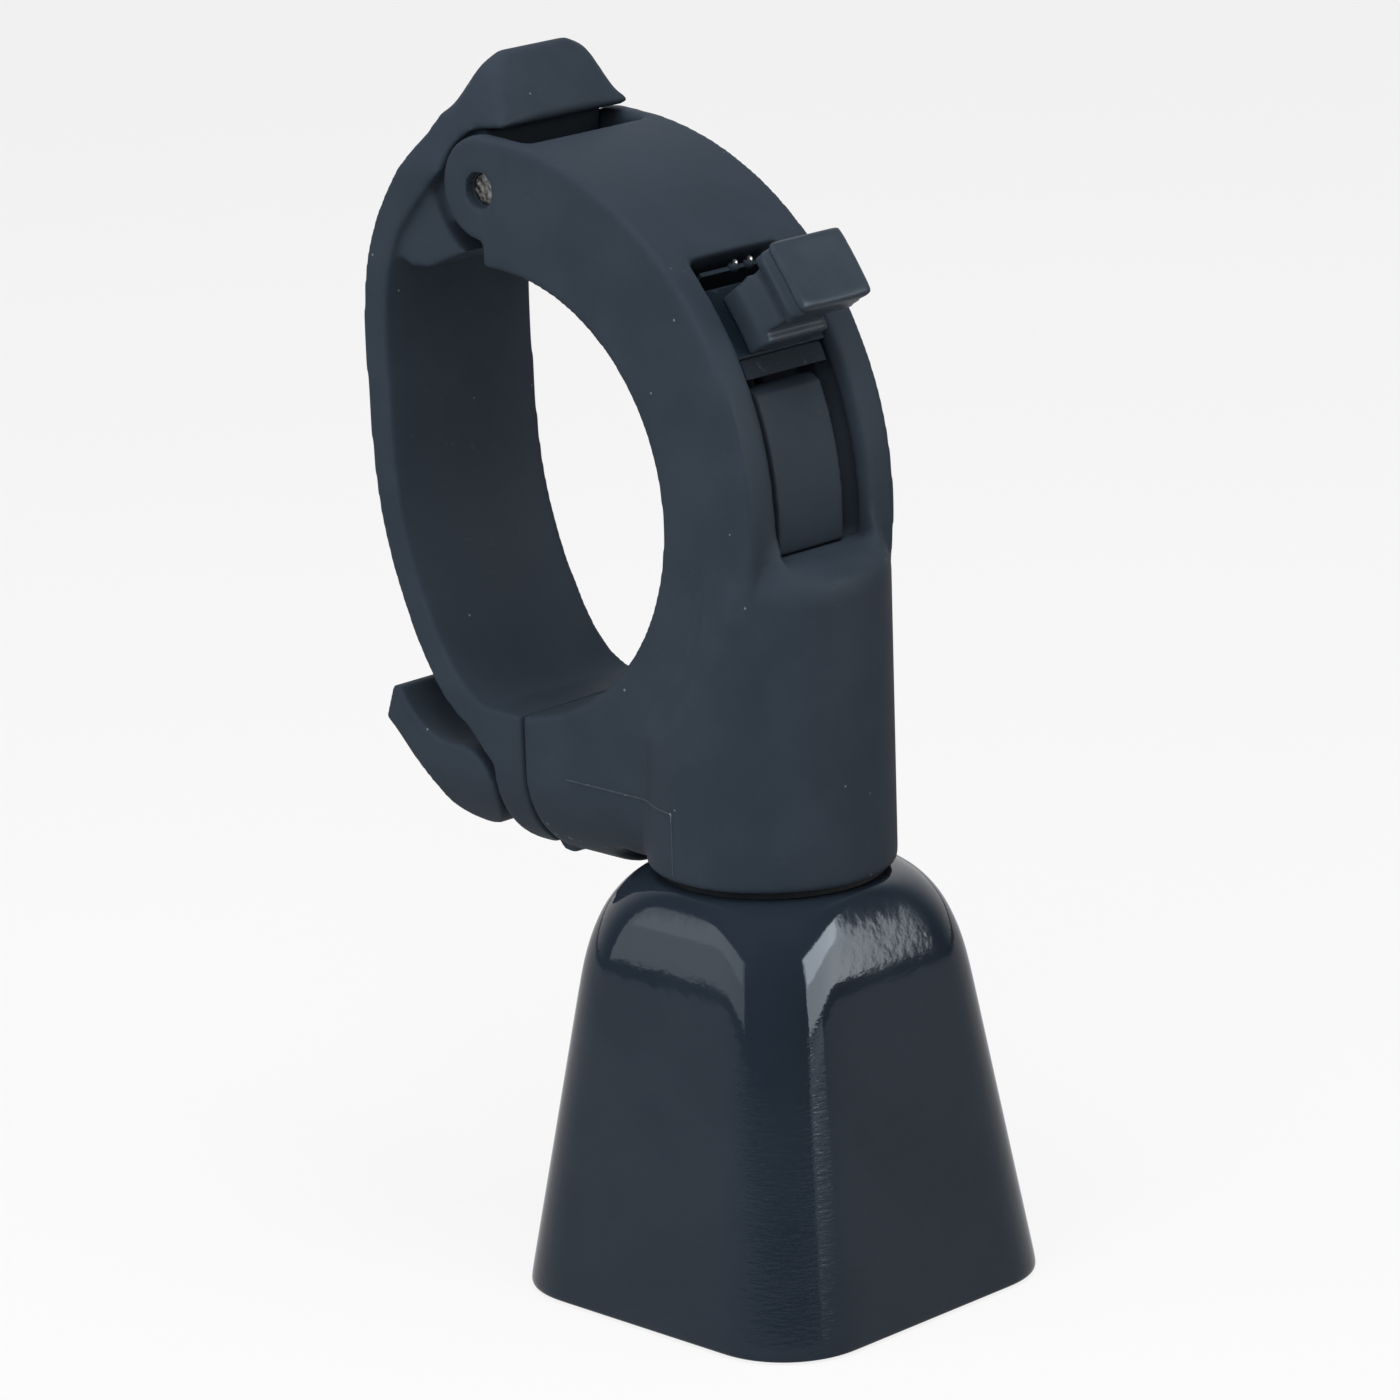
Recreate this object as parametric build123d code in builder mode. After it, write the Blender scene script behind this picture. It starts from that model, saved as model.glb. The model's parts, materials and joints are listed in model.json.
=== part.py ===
"""Handlebar cow bell with a quick-release clamp and a switch that lifts its clapper.

Millimetres. The origin is the centre of the handlebar, X points towards the bell's neck,
Y runs along the handlebar and Z is up. The clamp opens on the -X side.
"""
from build123d import *
import math
import os

os.makedirs("parts", exist_ok=True)

# --- Clamp ring ---------------------------------------------------------------------
bore_r = 17.5            # handlebar radius at the clamp
ring_wall = 9.65         # solid wall of the fixed half
ring_off_x = -0.3        # the outer round isn't quite concentric with the bore
ring_off_z = 0.45
ring_w = 15.9            # width along the handlebar
ring_r = bore_r + ring_wall
half_w = ring_w / 2
seat_gap = 0.02          # between a piece and the wall it is pressed or laid against

# --- Bottom flange and its small hinge ----------------------------------------------
part_x = 1.65            # plane where the two halves meet
part_gap = 0.10          # gap between their faces
flange_t = 3.5           # thickness of the arm's flange
flange_drop = 4.2
barrel_z = -(bore_r + flange_drop)   # centre of the round-bottomed flange
knuckle_r = 1.35
knuckle_rise = 0.05      # the knuckles stand this far inside the flange's round
knuckle_half = 3.2       # half width of the whole hinge
knuckle_mid = 0.8        # half width of the arm's middle knuckle
hinge_gap = 0.15         # clearance round the knuckles
hinge_pin_r = 0.6
pin_play = 0.05          # running clearance of a pin
hinge_z = barrel_z - half_w + knuckle_r + knuckle_rise
scoop_r = 2.3            # hollow between the flange's nose and the neck
scoop_x = 10.5

# --- Top latch ----------------------------------------------------------------------
ear_x = -0.8             # centre of the rounded ears
ear_r = 4.1
ear_rise = 0.1           # ears stand this far over the ring
ear_z = ring_r + ring_off_z + ear_rise - ear_r
ear_wall = 1.7
fork_end_x = 3.0         # end wall of the slot between the ears
tongue_play = 0.2
latch_pin_r = 1.25
latch_mouth = 0.15       # the hole's mouth is wider than the pin by this much all round
latch_pin_inset = 0.8    # each pin end sits this far inside its ear
notch_play = 0.15
latch_off = 0.1
latch_x = ear_x - latch_off
latch_z = ear_z - latch_off

# --- Arm ----------------------------------------------------------------------------
strap_t = 2.6
strap_depth = 4.45       # the strap's middle line runs this far inside the bore radius
tab_rise = 5.85         # crest of the tab over the ears
tab_crest_z = ear_z + ear_r + tab_rise
tab_root_z = 24.4        # the arm narrows from here upwards
tab_low_half = 6.9       # half width of the tab just above the ears
tab_high_half = 5.4      # half width at its crest
tab_corner_r = 1.6       # rounding of its two upper corners
tab_gap = 0.35           # clearance between tab and ears
tab_lip_x = 1.6          # the tab's lip stands this far past the ears' centre
tongue_front = -0.7      # and the tongue under it stays this far behind it
tongue_low = 3.2         # lower end of the tongue below the ears' centre
jaw_play = 0.8           # room between the tongue's lower jaw and the slot's end
gusset_gap = 1.9
gusset_inset = 0.9

# --- Cam lever ----------------------------------------------------------------------
cam_r = 3.5
cam_gap = 0.15           # clearance between cam and flange
cam_pin_r = 0.9
cam_pin_half = 5.5
eye_r = 1.8
eye_half = 1.3
bolt_r = 0.9
bolt_head_r = 1.4
bolt_head_t = 1.2
bolt_reach = 3.2         # how far the bolt stands into the fixed half
pocket_play = 0.35
lever_reach = 8.2        # from cam pin to paddle tip
lip_h = 2.7              # height of the paddle's turned-up lip
cam_over_hinge = 3.65    # height of the cam pin over the hinge pin
cam_x = part_x - part_gap / 2 - flange_t - cam_gap - cam_r
cam_z = hinge_z + cam_over_hinge

# --- Neck ---------------------------------------------------------------------------
neck_off = 3.0           # axis of the neck outside the bore
neck_x = bore_r + neck_off
neck_r = 9.6
neck_drop = 9.7
neck_bottom = -(bore_r + neck_drop)
neck_blend_low = -4.0    # the neck is a full round up to here
neck_blend_top = 8.0
neck_top_r = 6.6
neck_top_in = 1.4        # its top end lies this far inside the ring's skin
neck_narrow_low = -13.0  # from here up the neck's sides draw in to the ring's width
neck_narrow_top = -1.5
neck_flank_r = bore_r + 4.5  # inside this radius the ring keeps its flat side
neck_flank_taper = 58    # degrees

# --- Switch slot --------------------------------------------------------------------
slot_half = 4.9
slot_low = -4.5          # degrees above the X axis
slot_high = 47.5
slot_floor_r = bore_r + 4.5
track_t = 3.6            # height of the track over the slot's floor
track_half = 3.5
track_high = 25.5
track_low_gap = 0.3      # degrees between the track and the slot's lower end
track_r = slot_floor_r + track_t
rail_t = 1.3             # height of the side rails' grooves
rail_depth = 0.7
rail_r = track_r - rail_t
slide_play = 0.12
lever_angle = 36.0       # where the switch rests
slider_span = 6.5        # half of the slider's angle
slider_t = 0.75          # plate over the track
slider_r = track_r + slide_play + slider_t
stem_h = 4.7
knob_in_r = slider_r + stem_h
knob_t = 2.8
knob_out_r = knob_in_r + knob_t
knob_half = 4.0
knob_span = 5.0
stem_half = 3.5
stem_span_less = 0.8     # the stem spans this many degrees less than the knob on each side
foot_t = 2.2             # foot at the stem's lower side
foot_reach = 1.0         # degrees
spring_t = 0.35
spring_gap = 1.3         # degrees between the spring's upright end and the slot's end
spring_r = track_r + 0.4
nub_r = 0.45             # detent nubs on the leaf spring
nub_step = 1.6

# --- Cable --------------------------------------------------------------------------
cable_r = 0.4
cable_hole_r = 0.9
ball_r = 0.7
ball_wall = 0.5          # wall of the boss round the ball
ball_path_r = track_r + slide_play + ball_r + 0.1
ball_z = math.sqrt(ball_path_r ** 2 - neck_x ** 2)

# --- Bell ---------------------------------------------------------------------------
washer_t = 0.5
bell_top = neck_bottom - washer_t
bell_h = 33.1
bell_wall = 1.2
mouth_half = 16.0
bell_slope = 0.1525      # how fast the half width grows with depth
corner_share = 0.44      # corner radius over half width
crown_r = 9.3
shoulder_h = 8.0

# --- Bell fixing and clapper --------------------------------------------------------
bolt_shank_r = 3.0
bolt_play = 0.1          # clearance of the holes round the shank
bolt_top_z = -17.2
bolt_bore_r = 1.0
head_flats = 9.0
head_t = 3.0
inner_washer_r = 6.0
inner_washer_t = 0.6
pad_r = 4.4
pad_hole_r = 3.2
pad_t = 1.2
bead_r = 1.85
bead_play = 0.05
bead_hole_r = 0.5
clapper_r = 4.0
clapper_h = 9.8
clapper_cone_h = 3.2
clapper_tip_r = 1.2
clapper_gap = 0.3
ferrule_r = 0.9
ferrule_h = 1.4

inner_top = bell_top - bell_wall
head_top = inner_top - inner_washer_t
head_low = head_top - head_t
pad_low = head_low - pad_t
bead_z = head_low + 1.1
clapper_top = pad_low - clapper_gap
clapper_low = clapper_top - clapper_h
mouth_z = bell_top - bell_h


def polar(radius, degrees):
    """A point of the XZ plane at an angle above the X axis."""
    turn = math.radians(degrees)
    return (radius * math.cos(turn), radius * math.sin(turn))


def side_plane(y):
    """The plane of the clamp's profile, with its normal along +Y and X to the right."""
    return Plane(origin=(0, y, 0), x_dir=(1, 0, 0), z_dir=(0, -1, 0))


def finish(piece, name):
    piece.part.label = name
    export_step(piece.part, f"parts/{name}.step")


def sector(inner_r, outer_r, low, high):
    """A ring sector between two angles, drawn in the profile plane."""
    far = 2 * outer_r
    Circle(outer_r)
    Circle(inner_r, mode=Mode.SUBTRACT)
    Polygon((0, 0), polar(far, low), polar(far, (low + high) / 2), polar(far, high),
            align=None, mode=Mode.INTERSECT)


def flange_shape():
    """Straight sides with a round bottom, drawn across the handlebar."""
    with Locations((0, barrel_z)):
        Circle(half_w)
        Rectangle(ring_w, ring_w, align=(Align.CENTER, Align.MAX), mode=Mode.INTERSECT)
        Rectangle(ring_w, -barrel_z - bore_r, align=(Align.CENTER, Align.MIN))


# --- Fixed half of the clamp, with the neck ------------------------------------------
with BuildPart() as barrel_block:
    with BuildSketch(Plane.YZ.offset(part_x)):
        flange_shape()
    extrude(amount=neck_x - part_x - 4)
    with BuildSketch(side_plane(half_w)):
        with Locations((scoop_x, neck_bottom - scoop_r + 0.2)):
            Circle(scoop_r)
        with Locations((scoop_x, neck_bottom)):
            Rectangle(neck_x, 2 * scoop_r, align=(Align.MIN, Align.MAX))
    extrude(amount=ring_w, mode=Mode.SUBTRACT)

with BuildPart() as neck_limit:
    with BuildSketch(Plane.YZ):
        with BuildLine():
            Polyline(
                (-neck_r, neck_bottom),
                (-neck_r, neck_narrow_low),
                (-half_w, neck_narrow_top),
                (-half_w, ring_r),
                (half_w, ring_r),
                (half_w, neck_narrow_top),
                (neck_r, neck_narrow_low),
                (neck_r, neck_bottom),
                close=True,
            )
        make_face()
    extrude(amount=2 * ring_r)

with BuildPart() as neck_block:
    with BuildSketch(Plane.XY.offset(neck_bottom)):
        with Locations((neck_x, 0)):
            Circle(neck_r)
    extrude(amount=neck_blend_low - neck_bottom)
    with BuildSketch(Plane.XY.offset(neck_blend_low)):
        with Locations((neck_x, 0)):
            Circle(neck_r)
    with BuildSketch(Plane.XY.offset(neck_blend_top)):
        with Locations((ring_r - neck_top_in - neck_top_r, 0)):
            Circle(neck_top_r)
    loft()
    add(neck_limit.part, mode=Mode.INTERSECT)
    for side in (-1, 1):
        with BuildSketch(Plane(origin=(0, side * half_w, 0), x_dir=(1, 0, 0), z_dir=(0, side, 0))):
            Circle(neck_flank_r)
        extrude(amount=neck_r - half_w + 1, taper=-neck_flank_taper, mode=Mode.SUBTRACT)

with BuildPart() as clamp_body:
    with BuildSketch(side_plane(half_w)):
        with Locations((ring_off_x, ring_off_z)):
            Circle(ring_r)
        with Locations((ear_x - ring_r / 2, 0)):
            Rectangle(ring_r, 2 * ring_r + 1, mode=Mode.SUBTRACT)
        with Locations((part_x - ring_r, -ring_r)):
            Rectangle(2 * ring_r, 2 * ring_r, mode=Mode.SUBTRACT)
        with Locations((0, barrel_z - ring_r)):
            Rectangle(2 * ring_r, 2 * ring_r, mode=Mode.SUBTRACT)
        with Locations((ear_x, ear_z)):
            Circle(ear_r)
    extrude(amount=ring_w)
    add(barrel_block.part)
    add(neck_block.part)
    with BuildSketch(side_plane(half_w + 4)):
        Circle(bore_r)
    extrude(amount=ring_w + 8, mode=Mode.SUBTRACT)
    # slot between the ears
    with BuildSketch(side_plane(half_w - ear_wall)):
        with Locations((fork_end_x, ear_z - ear_r + 0.4)):
            Rectangle(12, 12, align=(Align.MAX, Align.MIN))
    extrude(amount=ring_w - 2 * ear_wall, mode=Mode.SUBTRACT)
    # latch pin hole with a shallow wider mouth on each side
    with BuildSketch(side_plane(half_w)):
        with Locations((latch_x, latch_z)):
            Circle(latch_pin_r)
    extrude(amount=ring_w, mode=Mode.SUBTRACT)
    for face_y in (half_w, -half_w + latch_pin_inset):
        with BuildSketch(side_plane(face_y)):
            with Locations((latch_x, latch_z)):
                Circle(latch_pin_r + latch_mouth)
        extrude(amount=latch_pin_inset, mode=Mode.SUBTRACT)
    # two outer hinge knuckles, and room for the arm's middle one
    for outer_y in (knuckle_half, -knuckle_mid - hinge_gap):
        with BuildSketch(side_plane(outer_y)):
            with Locations((part_x, hinge_z)):
                Circle(knuckle_r)
        extrude(amount=knuckle_half - knuckle_mid - hinge_gap)
    with BuildSketch(side_plane(knuckle_mid + hinge_gap)):
        with Locations((part_x, hinge_z)):
            Circle(knuckle_r + hinge_gap)
    extrude(amount=2 * (knuckle_mid + hinge_gap), mode=Mode.SUBTRACT)
    with BuildSketch(side_plane(knuckle_half)):
        with Locations((part_x, hinge_z)):
            Circle(hinge_pin_r)
    extrude(amount=2 * knuckle_half, mode=Mode.SUBTRACT)
    # pocket for the head of the draw bolt, open along the head's arc round the hinge
    head_arc = math.hypot(bolt_reach, cam_z + bolt_head_r - hinge_z) + pocket_play
    with BuildSketch(side_plane(bolt_head_r + pocket_play)):
        with Locations((part_x, hinge_z)):
            Circle(head_arc)
        with Locations((part_x, cam_z - bolt_head_r - pocket_play)):
            Rectangle(4 * head_arc, 4 * head_arc, align=(Align.CENTER, Align.MAX), mode=Mode.SUBTRACT)
        with Locations((part_x, hinge_z)):
            Rectangle(2 * head_arc, 4 * head_arc, align=(Align.MAX, Align.CENTER), mode=Mode.SUBTRACT)
    extrude(amount=2 * (bolt_head_r + pocket_play), mode=Mode.SUBTRACT)
    # curved switch slot with two side grooves
    with BuildSketch(side_plane(slot_half)):
        sector(slot_floor_r, ring_r + 6, slot_low, slot_high)
    extrude(amount=2 * slot_half, mode=Mode.SUBTRACT)
    with BuildSketch(side_plane(slot_half + rail_depth)):
        sector(rail_r, rail_r + rail_t, slot_low, slot_high)
    extrude(amount=2 * (slot_half + rail_depth), mode=Mode.SUBTRACT)
    # bore for the hollow bolt, and the cable hole above it
    with BuildSketch(Plane.XY.offset(neck_bottom)):
        with Locations((neck_x, 0)):
            Circle(bolt_shank_r)
    extrude(amount=bolt_top_z - neck_bottom, mode=Mode.SUBTRACT)
    with BuildSketch(Plane.XY.offset(bolt_top_z)):
        with Locations((neck_x, 0)):
            Circle(cable_hole_r)
    extrude(amount=ball_z - bolt_top_z, mode=Mode.SUBTRACT)
finish(clamp_body, "clamp_body")

# --- Latch pin and hinge pin ----------------------------------------------------------
with BuildPart() as latch_pin:
    with BuildSketch(side_plane(half_w - latch_pin_inset)):
        with Locations((latch_x, latch_z)):
            Circle(latch_pin_r)
    extrude(amount=ring_w - 2 * latch_pin_inset)
finish(latch_pin, "latch_pin")

with BuildPart() as hinge_pin:
    with BuildSketch(side_plane(knuckle_half)):
        with Locations((part_x, hinge_z)):
            Circle(hinge_pin_r)
    extrude(amount=2 * knuckle_half)
finish(hinge_pin, "hinge_pin")

# --- The arm's outline seen along X: full width, with the tab drawn in ------------------
with BuildPart() as arm_limit:
    with BuildSketch(Plane.YZ.offset(-ring_r)):
        with BuildLine():
            Polyline(
                (-half_w, -2 * ring_r),
                (-half_w, tab_root_z),
                (-tab_low_half, ear_z + ear_r + tab_gap),
                (-tab_high_half, tab_crest_z),
                (tab_high_half, tab_crest_z),
                (tab_low_half, ear_z + ear_r + tab_gap),
                (half_w, tab_root_z),
                (half_w, -2 * ring_r),
                close=True,
            )
        make_face()
        fillet(vertices().group_by(Axis.Y)[-1], tab_corner_r)
    extrude(amount=2 * ring_r)

# --- Swinging arm: strap, tab, tongue with the latch notch, gusset and flange -----------
strap_x = -(bore_r - strap_depth)
tongue_half = half_w - ear_wall - tongue_play
strap_line = [
    (part_x - part_gap, -(bore_r + strap_t / 2 - 0.05)),
    (-4.9, -(bore_r + 0.1)),
    (strap_x + 3.45, -(bore_r - 6.5)),
    (strap_x + 0.85, -3.2),
    (strap_x, 6.3),
    (strap_x + 0.75, ear_z - 6.4),
    (strap_x + 3.75, ear_z - 0.7),
    (ear_x - 4.8, ear_z + 3.3),
]
tab_outline = [
    (ear_x - 7.9, ear_z + 1.6),
    (ear_x - 4.0, tab_crest_z - 2.9),
    (ear_x - 2.4, tab_crest_z - 0.4),
    (ear_x - 1.7, tab_crest_z),
    (ear_x - 1.0, tab_crest_z - 0.4),
    (ear_x + tab_lip_x, ear_z + ear_r + 1.3),
    (ear_x + tab_lip_x, ear_z + ear_r + tab_gap + 0.1),
    (ear_x, ear_z + ear_r + tab_gap),
    (ear_x - 3.6, ear_z + 1.6),
    (ear_x - 5.6, ear_z - 0.2),
    (ear_x - 7.6, ear_z - 2.4),
    (ear_x - 9.4, ear_z - 4.6),
    (ear_x - 10.6, ear_z - 4.2),
]
with BuildPart() as clamp_arm:
    with BuildSketch(side_plane(half_w)):
        with BuildLine():
            Spline(*strap_line)
        trace(line_width=strap_t)
        with BuildLine():
            Polyline(*tab_outline, close=True)
        make_face()
        with Locations((ear_x, ear_z)):
            Circle(ear_r + tab_gap, mode=Mode.SUBTRACT)
        with Locations((part_x - part_gap, 0)):
            Rectangle(bore_r, 2 * bore_r + 10, align=(Align.MIN, Align.MAX), mode=Mode.SUBTRACT)
    extrude(amount=ring_w)
    with BuildSketch(side_plane(half_w)):
        with BuildLine():
            Polyline((-6.2, -(bore_r + 0.2)), (part_x - flange_t, barrel_z - 0.3),
                     (part_x - flange_t, -(bore_r + 1)), close=True)
        make_face()
    extrude(amount=ring_w)
    with BuildSketch(side_plane(half_w - gusset_inset)):
        with BuildLine():
            Polyline((ear_x - 10.8, ear_z - 6.3), (ear_x - 8.9, ear_z - 7.3), (ear_x - 7.0, ear_z - 7.1),
                     (ear_x - 2.6, ear_z - 5.3), (ear_x - 2.6, ear_z - 2), (ear_x - 5.6, ear_z - 0.2),
                     (ear_x - 10.8, ear_z - 4.2), close=True)
        make_face()
        with Locations((ear_x, ear_z)):
            Circle(ear_r + gusset_gap, mode=Mode.SUBTRACT)
    extrude(amount=2 * (half_w - gusset_inset))
    add(arm_limit.part, mode=Mode.INTERSECT)
    # tongue between the ears
    with BuildSketch(side_plane(tongue_half)):
        with Locations((ear_x + tongue_front, ear_z - tongue_low)):
            Rectangle(ear_r + 1.8, ear_r + tab_gap + tongue_low, align=(Align.MAX, Align.MIN))
        with Locations((fork_end_x - jaw_play, ear_z - tongue_low)):
            Rectangle(ear_r + 1.8, tongue_low, align=(Align.MAX, Align.MIN))
        with Locations((latch_x, latch_z)):
            Circle(latch_pin_r + notch_play, mode=Mode.SUBTRACT)
        with Locations((latch_x, latch_z)):
            Rectangle(8, 2 * (latch_pin_r + notch_play), align=(Align.MIN, Align.CENTER),
                      mode=Mode.SUBTRACT)
    extrude(amount=2 * tongue_half)
    # flange at the bottom
    with BuildSketch(Plane.YZ.offset(part_x - part_gap)):
        flange_shape()
    extrude(amount=-(flange_t - part_gap / 2))
    with BuildSketch(side_plane(half_w)):
        with BuildLine():
            Polyline((part_x, hinge_z), (part_x - 8, hinge_z - 8 * math.tan(math.radians(25))),
                     (part_x - 8, hinge_z - 8), (part_x, hinge_z - 8), close=True)
        make_face()
    extrude(amount=ring_w, mode=Mode.SUBTRACT)
    with BuildSketch(side_plane(knuckle_half + hinge_gap)):
        with Locations((part_x, hinge_z)):
            Circle(knuckle_r + hinge_gap)
    extrude(amount=2 * (knuckle_half + hinge_gap), mode=Mode.SUBTRACT)
    with BuildSketch(side_plane(knuckle_mid)):
        with Locations((part_x, hinge_z)):
            Circle(knuckle_r)
        with Locations((part_x, hinge_z)):
            Rectangle(2 * knuckle_r, knuckle_r, align=(Align.MAX, Align.MIN))
    extrude(amount=2 * knuckle_mid)
    with BuildSketch(side_plane(knuckle_half)):
        with Locations((part_x, hinge_z)):
            Circle(hinge_pin_r + pin_play)
    extrude(amount=2 * knuckle_half, mode=Mode.SUBTRACT)
    # hole for the draw bolt
    with BuildSketch(Plane.YZ.offset(part_x - flange_t - 1)):
        with Locations((0, cam_z)):
            Circle(bolt_r + pin_play)
    extrude(amount=flange_t + 2, mode=Mode.SUBTRACT)
finish(clamp_arm, "clamp_arm")

# --- Cam lever with its pin and draw bolt ----------------------------------------------
paddle_tip = (cam_x - lever_reach, barrel_z + 1.5)
lip_in = (paddle_tip[0] + 1.8, paddle_tip[1] + lip_h)
lip_out = (paddle_tip[0] + 0.9, paddle_tip[1] + lip_h)
heel = (cam_x - 0.7 * cam_r, cam_z - 0.7 * cam_r)
with BuildPart() as lever_limit:
    with BuildSketch(Plane.YZ.offset(cam_x - 2 * lever_reach)):
        with Locations((0, barrel_z)):
            Circle(half_w)
            Rectangle(ring_w, 2 * half_w, align=(Align.CENTER, Align.MIN))
    extrude(amount=3 * lever_reach)

with BuildPart() as cam_lever:
    with BuildSketch(side_plane(half_w)):
        with Locations((cam_x, cam_z)):
            Circle(cam_r)
        with BuildLine():
            ThreePointArc((cam_x, cam_z + cam_r), (cam_x - cam_r, barrel_z + 1.3), lip_in)
            Line(lip_in, lip_out)
            Line(lip_out, paddle_tip)
            ThreePointArc(paddle_tip, (cam_x - 0.6 * lever_reach, barrel_z - 1.7), heel)
            Line(heel, (cam_x, cam_z + cam_r))
        make_face()
    extrude(amount=ring_w)
    add(lever_limit.part, mode=Mode.INTERSECT)
    with BuildSketch(side_plane(cam_pin_half + 0.1)):
        with Locations((cam_x, cam_z)):
            Circle(cam_pin_r + pin_play)
    extrude(amount=2 * (cam_pin_half + 0.1), mode=Mode.SUBTRACT)
    with BuildSketch(side_plane(eye_half + hinge_gap)):
        with Locations((cam_x, cam_z)):
            Circle(eye_r + hinge_gap)
        with BuildLine():
            Line((cam_x, cam_z + bolt_r + hinge_gap), (cam_x + 2 * cam_r, cam_z + bolt_r + hinge_gap))
            Line((cam_x + 2 * cam_r, cam_z + bolt_r + hinge_gap), (cam_x + 2 * cam_r, cam_z - 2 * cam_r))
            Line((cam_x + 2 * cam_r, cam_z - 2 * cam_r), (cam_x - 2.4, cam_z - 2 * cam_r))
            Line((cam_x - 2.4, cam_z - 2 * cam_r), (cam_x - 1.3, cam_z))
            Line((cam_x - 1.3, cam_z), (cam_x, cam_z + bolt_r + hinge_gap))
        make_face()
    extrude(amount=2 * (eye_half + hinge_gap), mode=Mode.SUBTRACT)
finish(cam_lever, "cam_lever")

with BuildPart() as cam_pin:
    with BuildSketch(side_plane(cam_pin_half)):
        with Locations((cam_x, cam_z)):
            Circle(cam_pin_r)
    extrude(amount=2 * cam_pin_half)
finish(cam_pin, "cam_pin")

with BuildPart() as draw_bolt:
    with BuildSketch(side_plane(eye_half)):
        with Locations((cam_x, cam_z)):
            Circle(eye_r)
    extrude(amount=2 * eye_half)
    with BuildSketch(Plane.YZ.offset(cam_x)):
        with Locations((0, cam_z)):
            Circle(bolt_r)
    extrude(amount=part_x + bolt_reach - cam_x)
    with BuildSketch(Plane.YZ.offset(part_x + bolt_reach - bolt_head_t)):
        with Locations((0, cam_z)):
            Circle(bolt_head_r)
    extrude(amount=bolt_head_t)
    with BuildSketch(side_plane(half_w)):
        with Locations((cam_x, cam_z)):
            Circle(cam_pin_r)
    extrude(amount=ring_w, mode=Mode.SUBTRACT)
finish(draw_bolt, "draw_bolt")

# --- Clapper switch ---------------------------------------------------------------------
stem_span = knob_span - stem_span_less
ball_angle = math.degrees(math.atan2(ball_z, neck_x))
boss_span = math.degrees((ball_r + ball_wall) / ball_path_r)
low_angle = lever_angle - slider_span
high_angle = lever_angle + slider_span
with BuildPart() as switch_slider:
    with BuildSketch(side_plane(slot_half - slide_play)):
        sector(track_r + slide_play, slider_r, low_angle, high_angle)
    extrude(amount=2 * (slot_half - slide_play))
    for runner_y in (slot_half + rail_depth - slide_play, -track_half - slide_play):
        with BuildSketch(side_plane(runner_y)):
            sector(rail_r + slide_play, rail_r + rail_t - slide_play, low_angle, high_angle)
        extrude(amount=slot_half + rail_depth - track_half - 2 * slide_play)
    for web_y in (slot_half - slide_play, -track_half - slide_play):
        with BuildSketch(side_plane(web_y)):
            sector(rail_r + slide_play, track_r + slide_play, low_angle, high_angle)
        extrude(amount=slot_half - track_half - 2 * slide_play)
    with Locations((neck_x, 0, ball_z)):
        Sphere(ball_r, mode=Mode.SUBTRACT)
    with BuildSketch(Plane.XY.offset(ball_z)):
        with Locations((neck_x, 0)):
            Circle(cable_r + seat_gap)
    extrude(amount=-2 * ball_r - slider_t, mode=Mode.SUBTRACT)
finish(switch_slider, "switch_slider")

with BuildPart() as switch_lever:
    with BuildSketch(side_plane(stem_half)):
        sector(slider_r, knob_in_r, lever_angle - stem_span, lever_angle + stem_span)
    extrude(amount=2 * stem_half)
    with BuildSketch(side_plane(stem_half)):
        sector(slider_r, slider_r + foot_t, lever_angle - knob_span - foot_reach, lever_angle)
    extrude(amount=2 * stem_half)
    with BuildSketch(side_plane(knob_half)):
        sector(knob_in_r, knob_out_r, lever_angle - knob_span, lever_angle + knob_span)
    extrude(amount=2 * knob_half)
    # boss over the cable's ball
    with BuildSketch(side_plane(ball_r + ball_wall)):
        sector(slider_r, ball_path_r + ball_r + ball_wall, lever_angle, ball_angle + boss_span)
    extrude(amount=2 * (ball_r + ball_wall))
    with Locations((neck_x, 0, ball_z)):
        Sphere(ball_r, mode=Mode.SUBTRACT)
finish(switch_lever, "switch_lever")

with BuildPart() as slide_track:
    with BuildSketch(side_plane(track_half)):
        sector(slot_floor_r + seat_gap, track_r, slot_low + track_low_gap, track_high)
    extrude(amount=2 * track_half)
    with BuildSketch(Plane.XY):
        with Locations((neck_x, 0)):
            Circle(cable_hole_r)
    extrude(amount=2 * track_r, both=True, mode=Mode.SUBTRACT)
finish(slide_track, "slide_track")

spring_low = track_high + 2
spring_high = slot_high - spring_gap
with BuildPart() as detent_spring:
    with BuildSketch(side_plane(track_half)):
        sector(slot_floor_r + seat_gap, slot_floor_r + seat_gap + spring_t, spring_low, spring_high)
        sector(slot_floor_r + seat_gap, spring_r, spring_high - math.degrees(spring_t / spring_r), spring_high)
    extrude(amount=2 * track_half)
    nub_x, nub_z = polar(spring_r, spring_high - math.degrees(spring_t / spring_r) / 2)
    with Locations(*[(nub_x, step * nub_step, nub_z) for step in (0, 1, 2)]):
        Sphere(nub_r)
finish(detent_spring, "detent_spring")

with BuildPart() as cable_ball:
    with Locations((neck_x, 0, ball_z)):
        Sphere(ball_r)
finish(cable_ball, "cable_ball")

with BuildPart() as pull_cable:
    with BuildSketch(Plane.XY.offset(bolt_top_z)):
        with Locations((neck_x, 0)):
            Circle(cable_r)
    extrude(amount=ball_z - bolt_top_z)
    with Locations((neck_x, 0, ball_z)):
        Sphere(ball_r, mode=Mode.SUBTRACT)
finish(pull_cable, "pull_cable")


# --- Bell -------------------------------------------------------------------------------
def bell_half(z):
    """Half width of the bell's outer skin at a height."""
    return mouth_half - bell_slope * (z - mouth_z)


def bell_section(half, share):
    """A rounded square; a share of 1 is nearly a circle."""
    with Locations((neck_x, 0)):
        RectangleRounded(2 * half, 2 * half, half * share)


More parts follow.
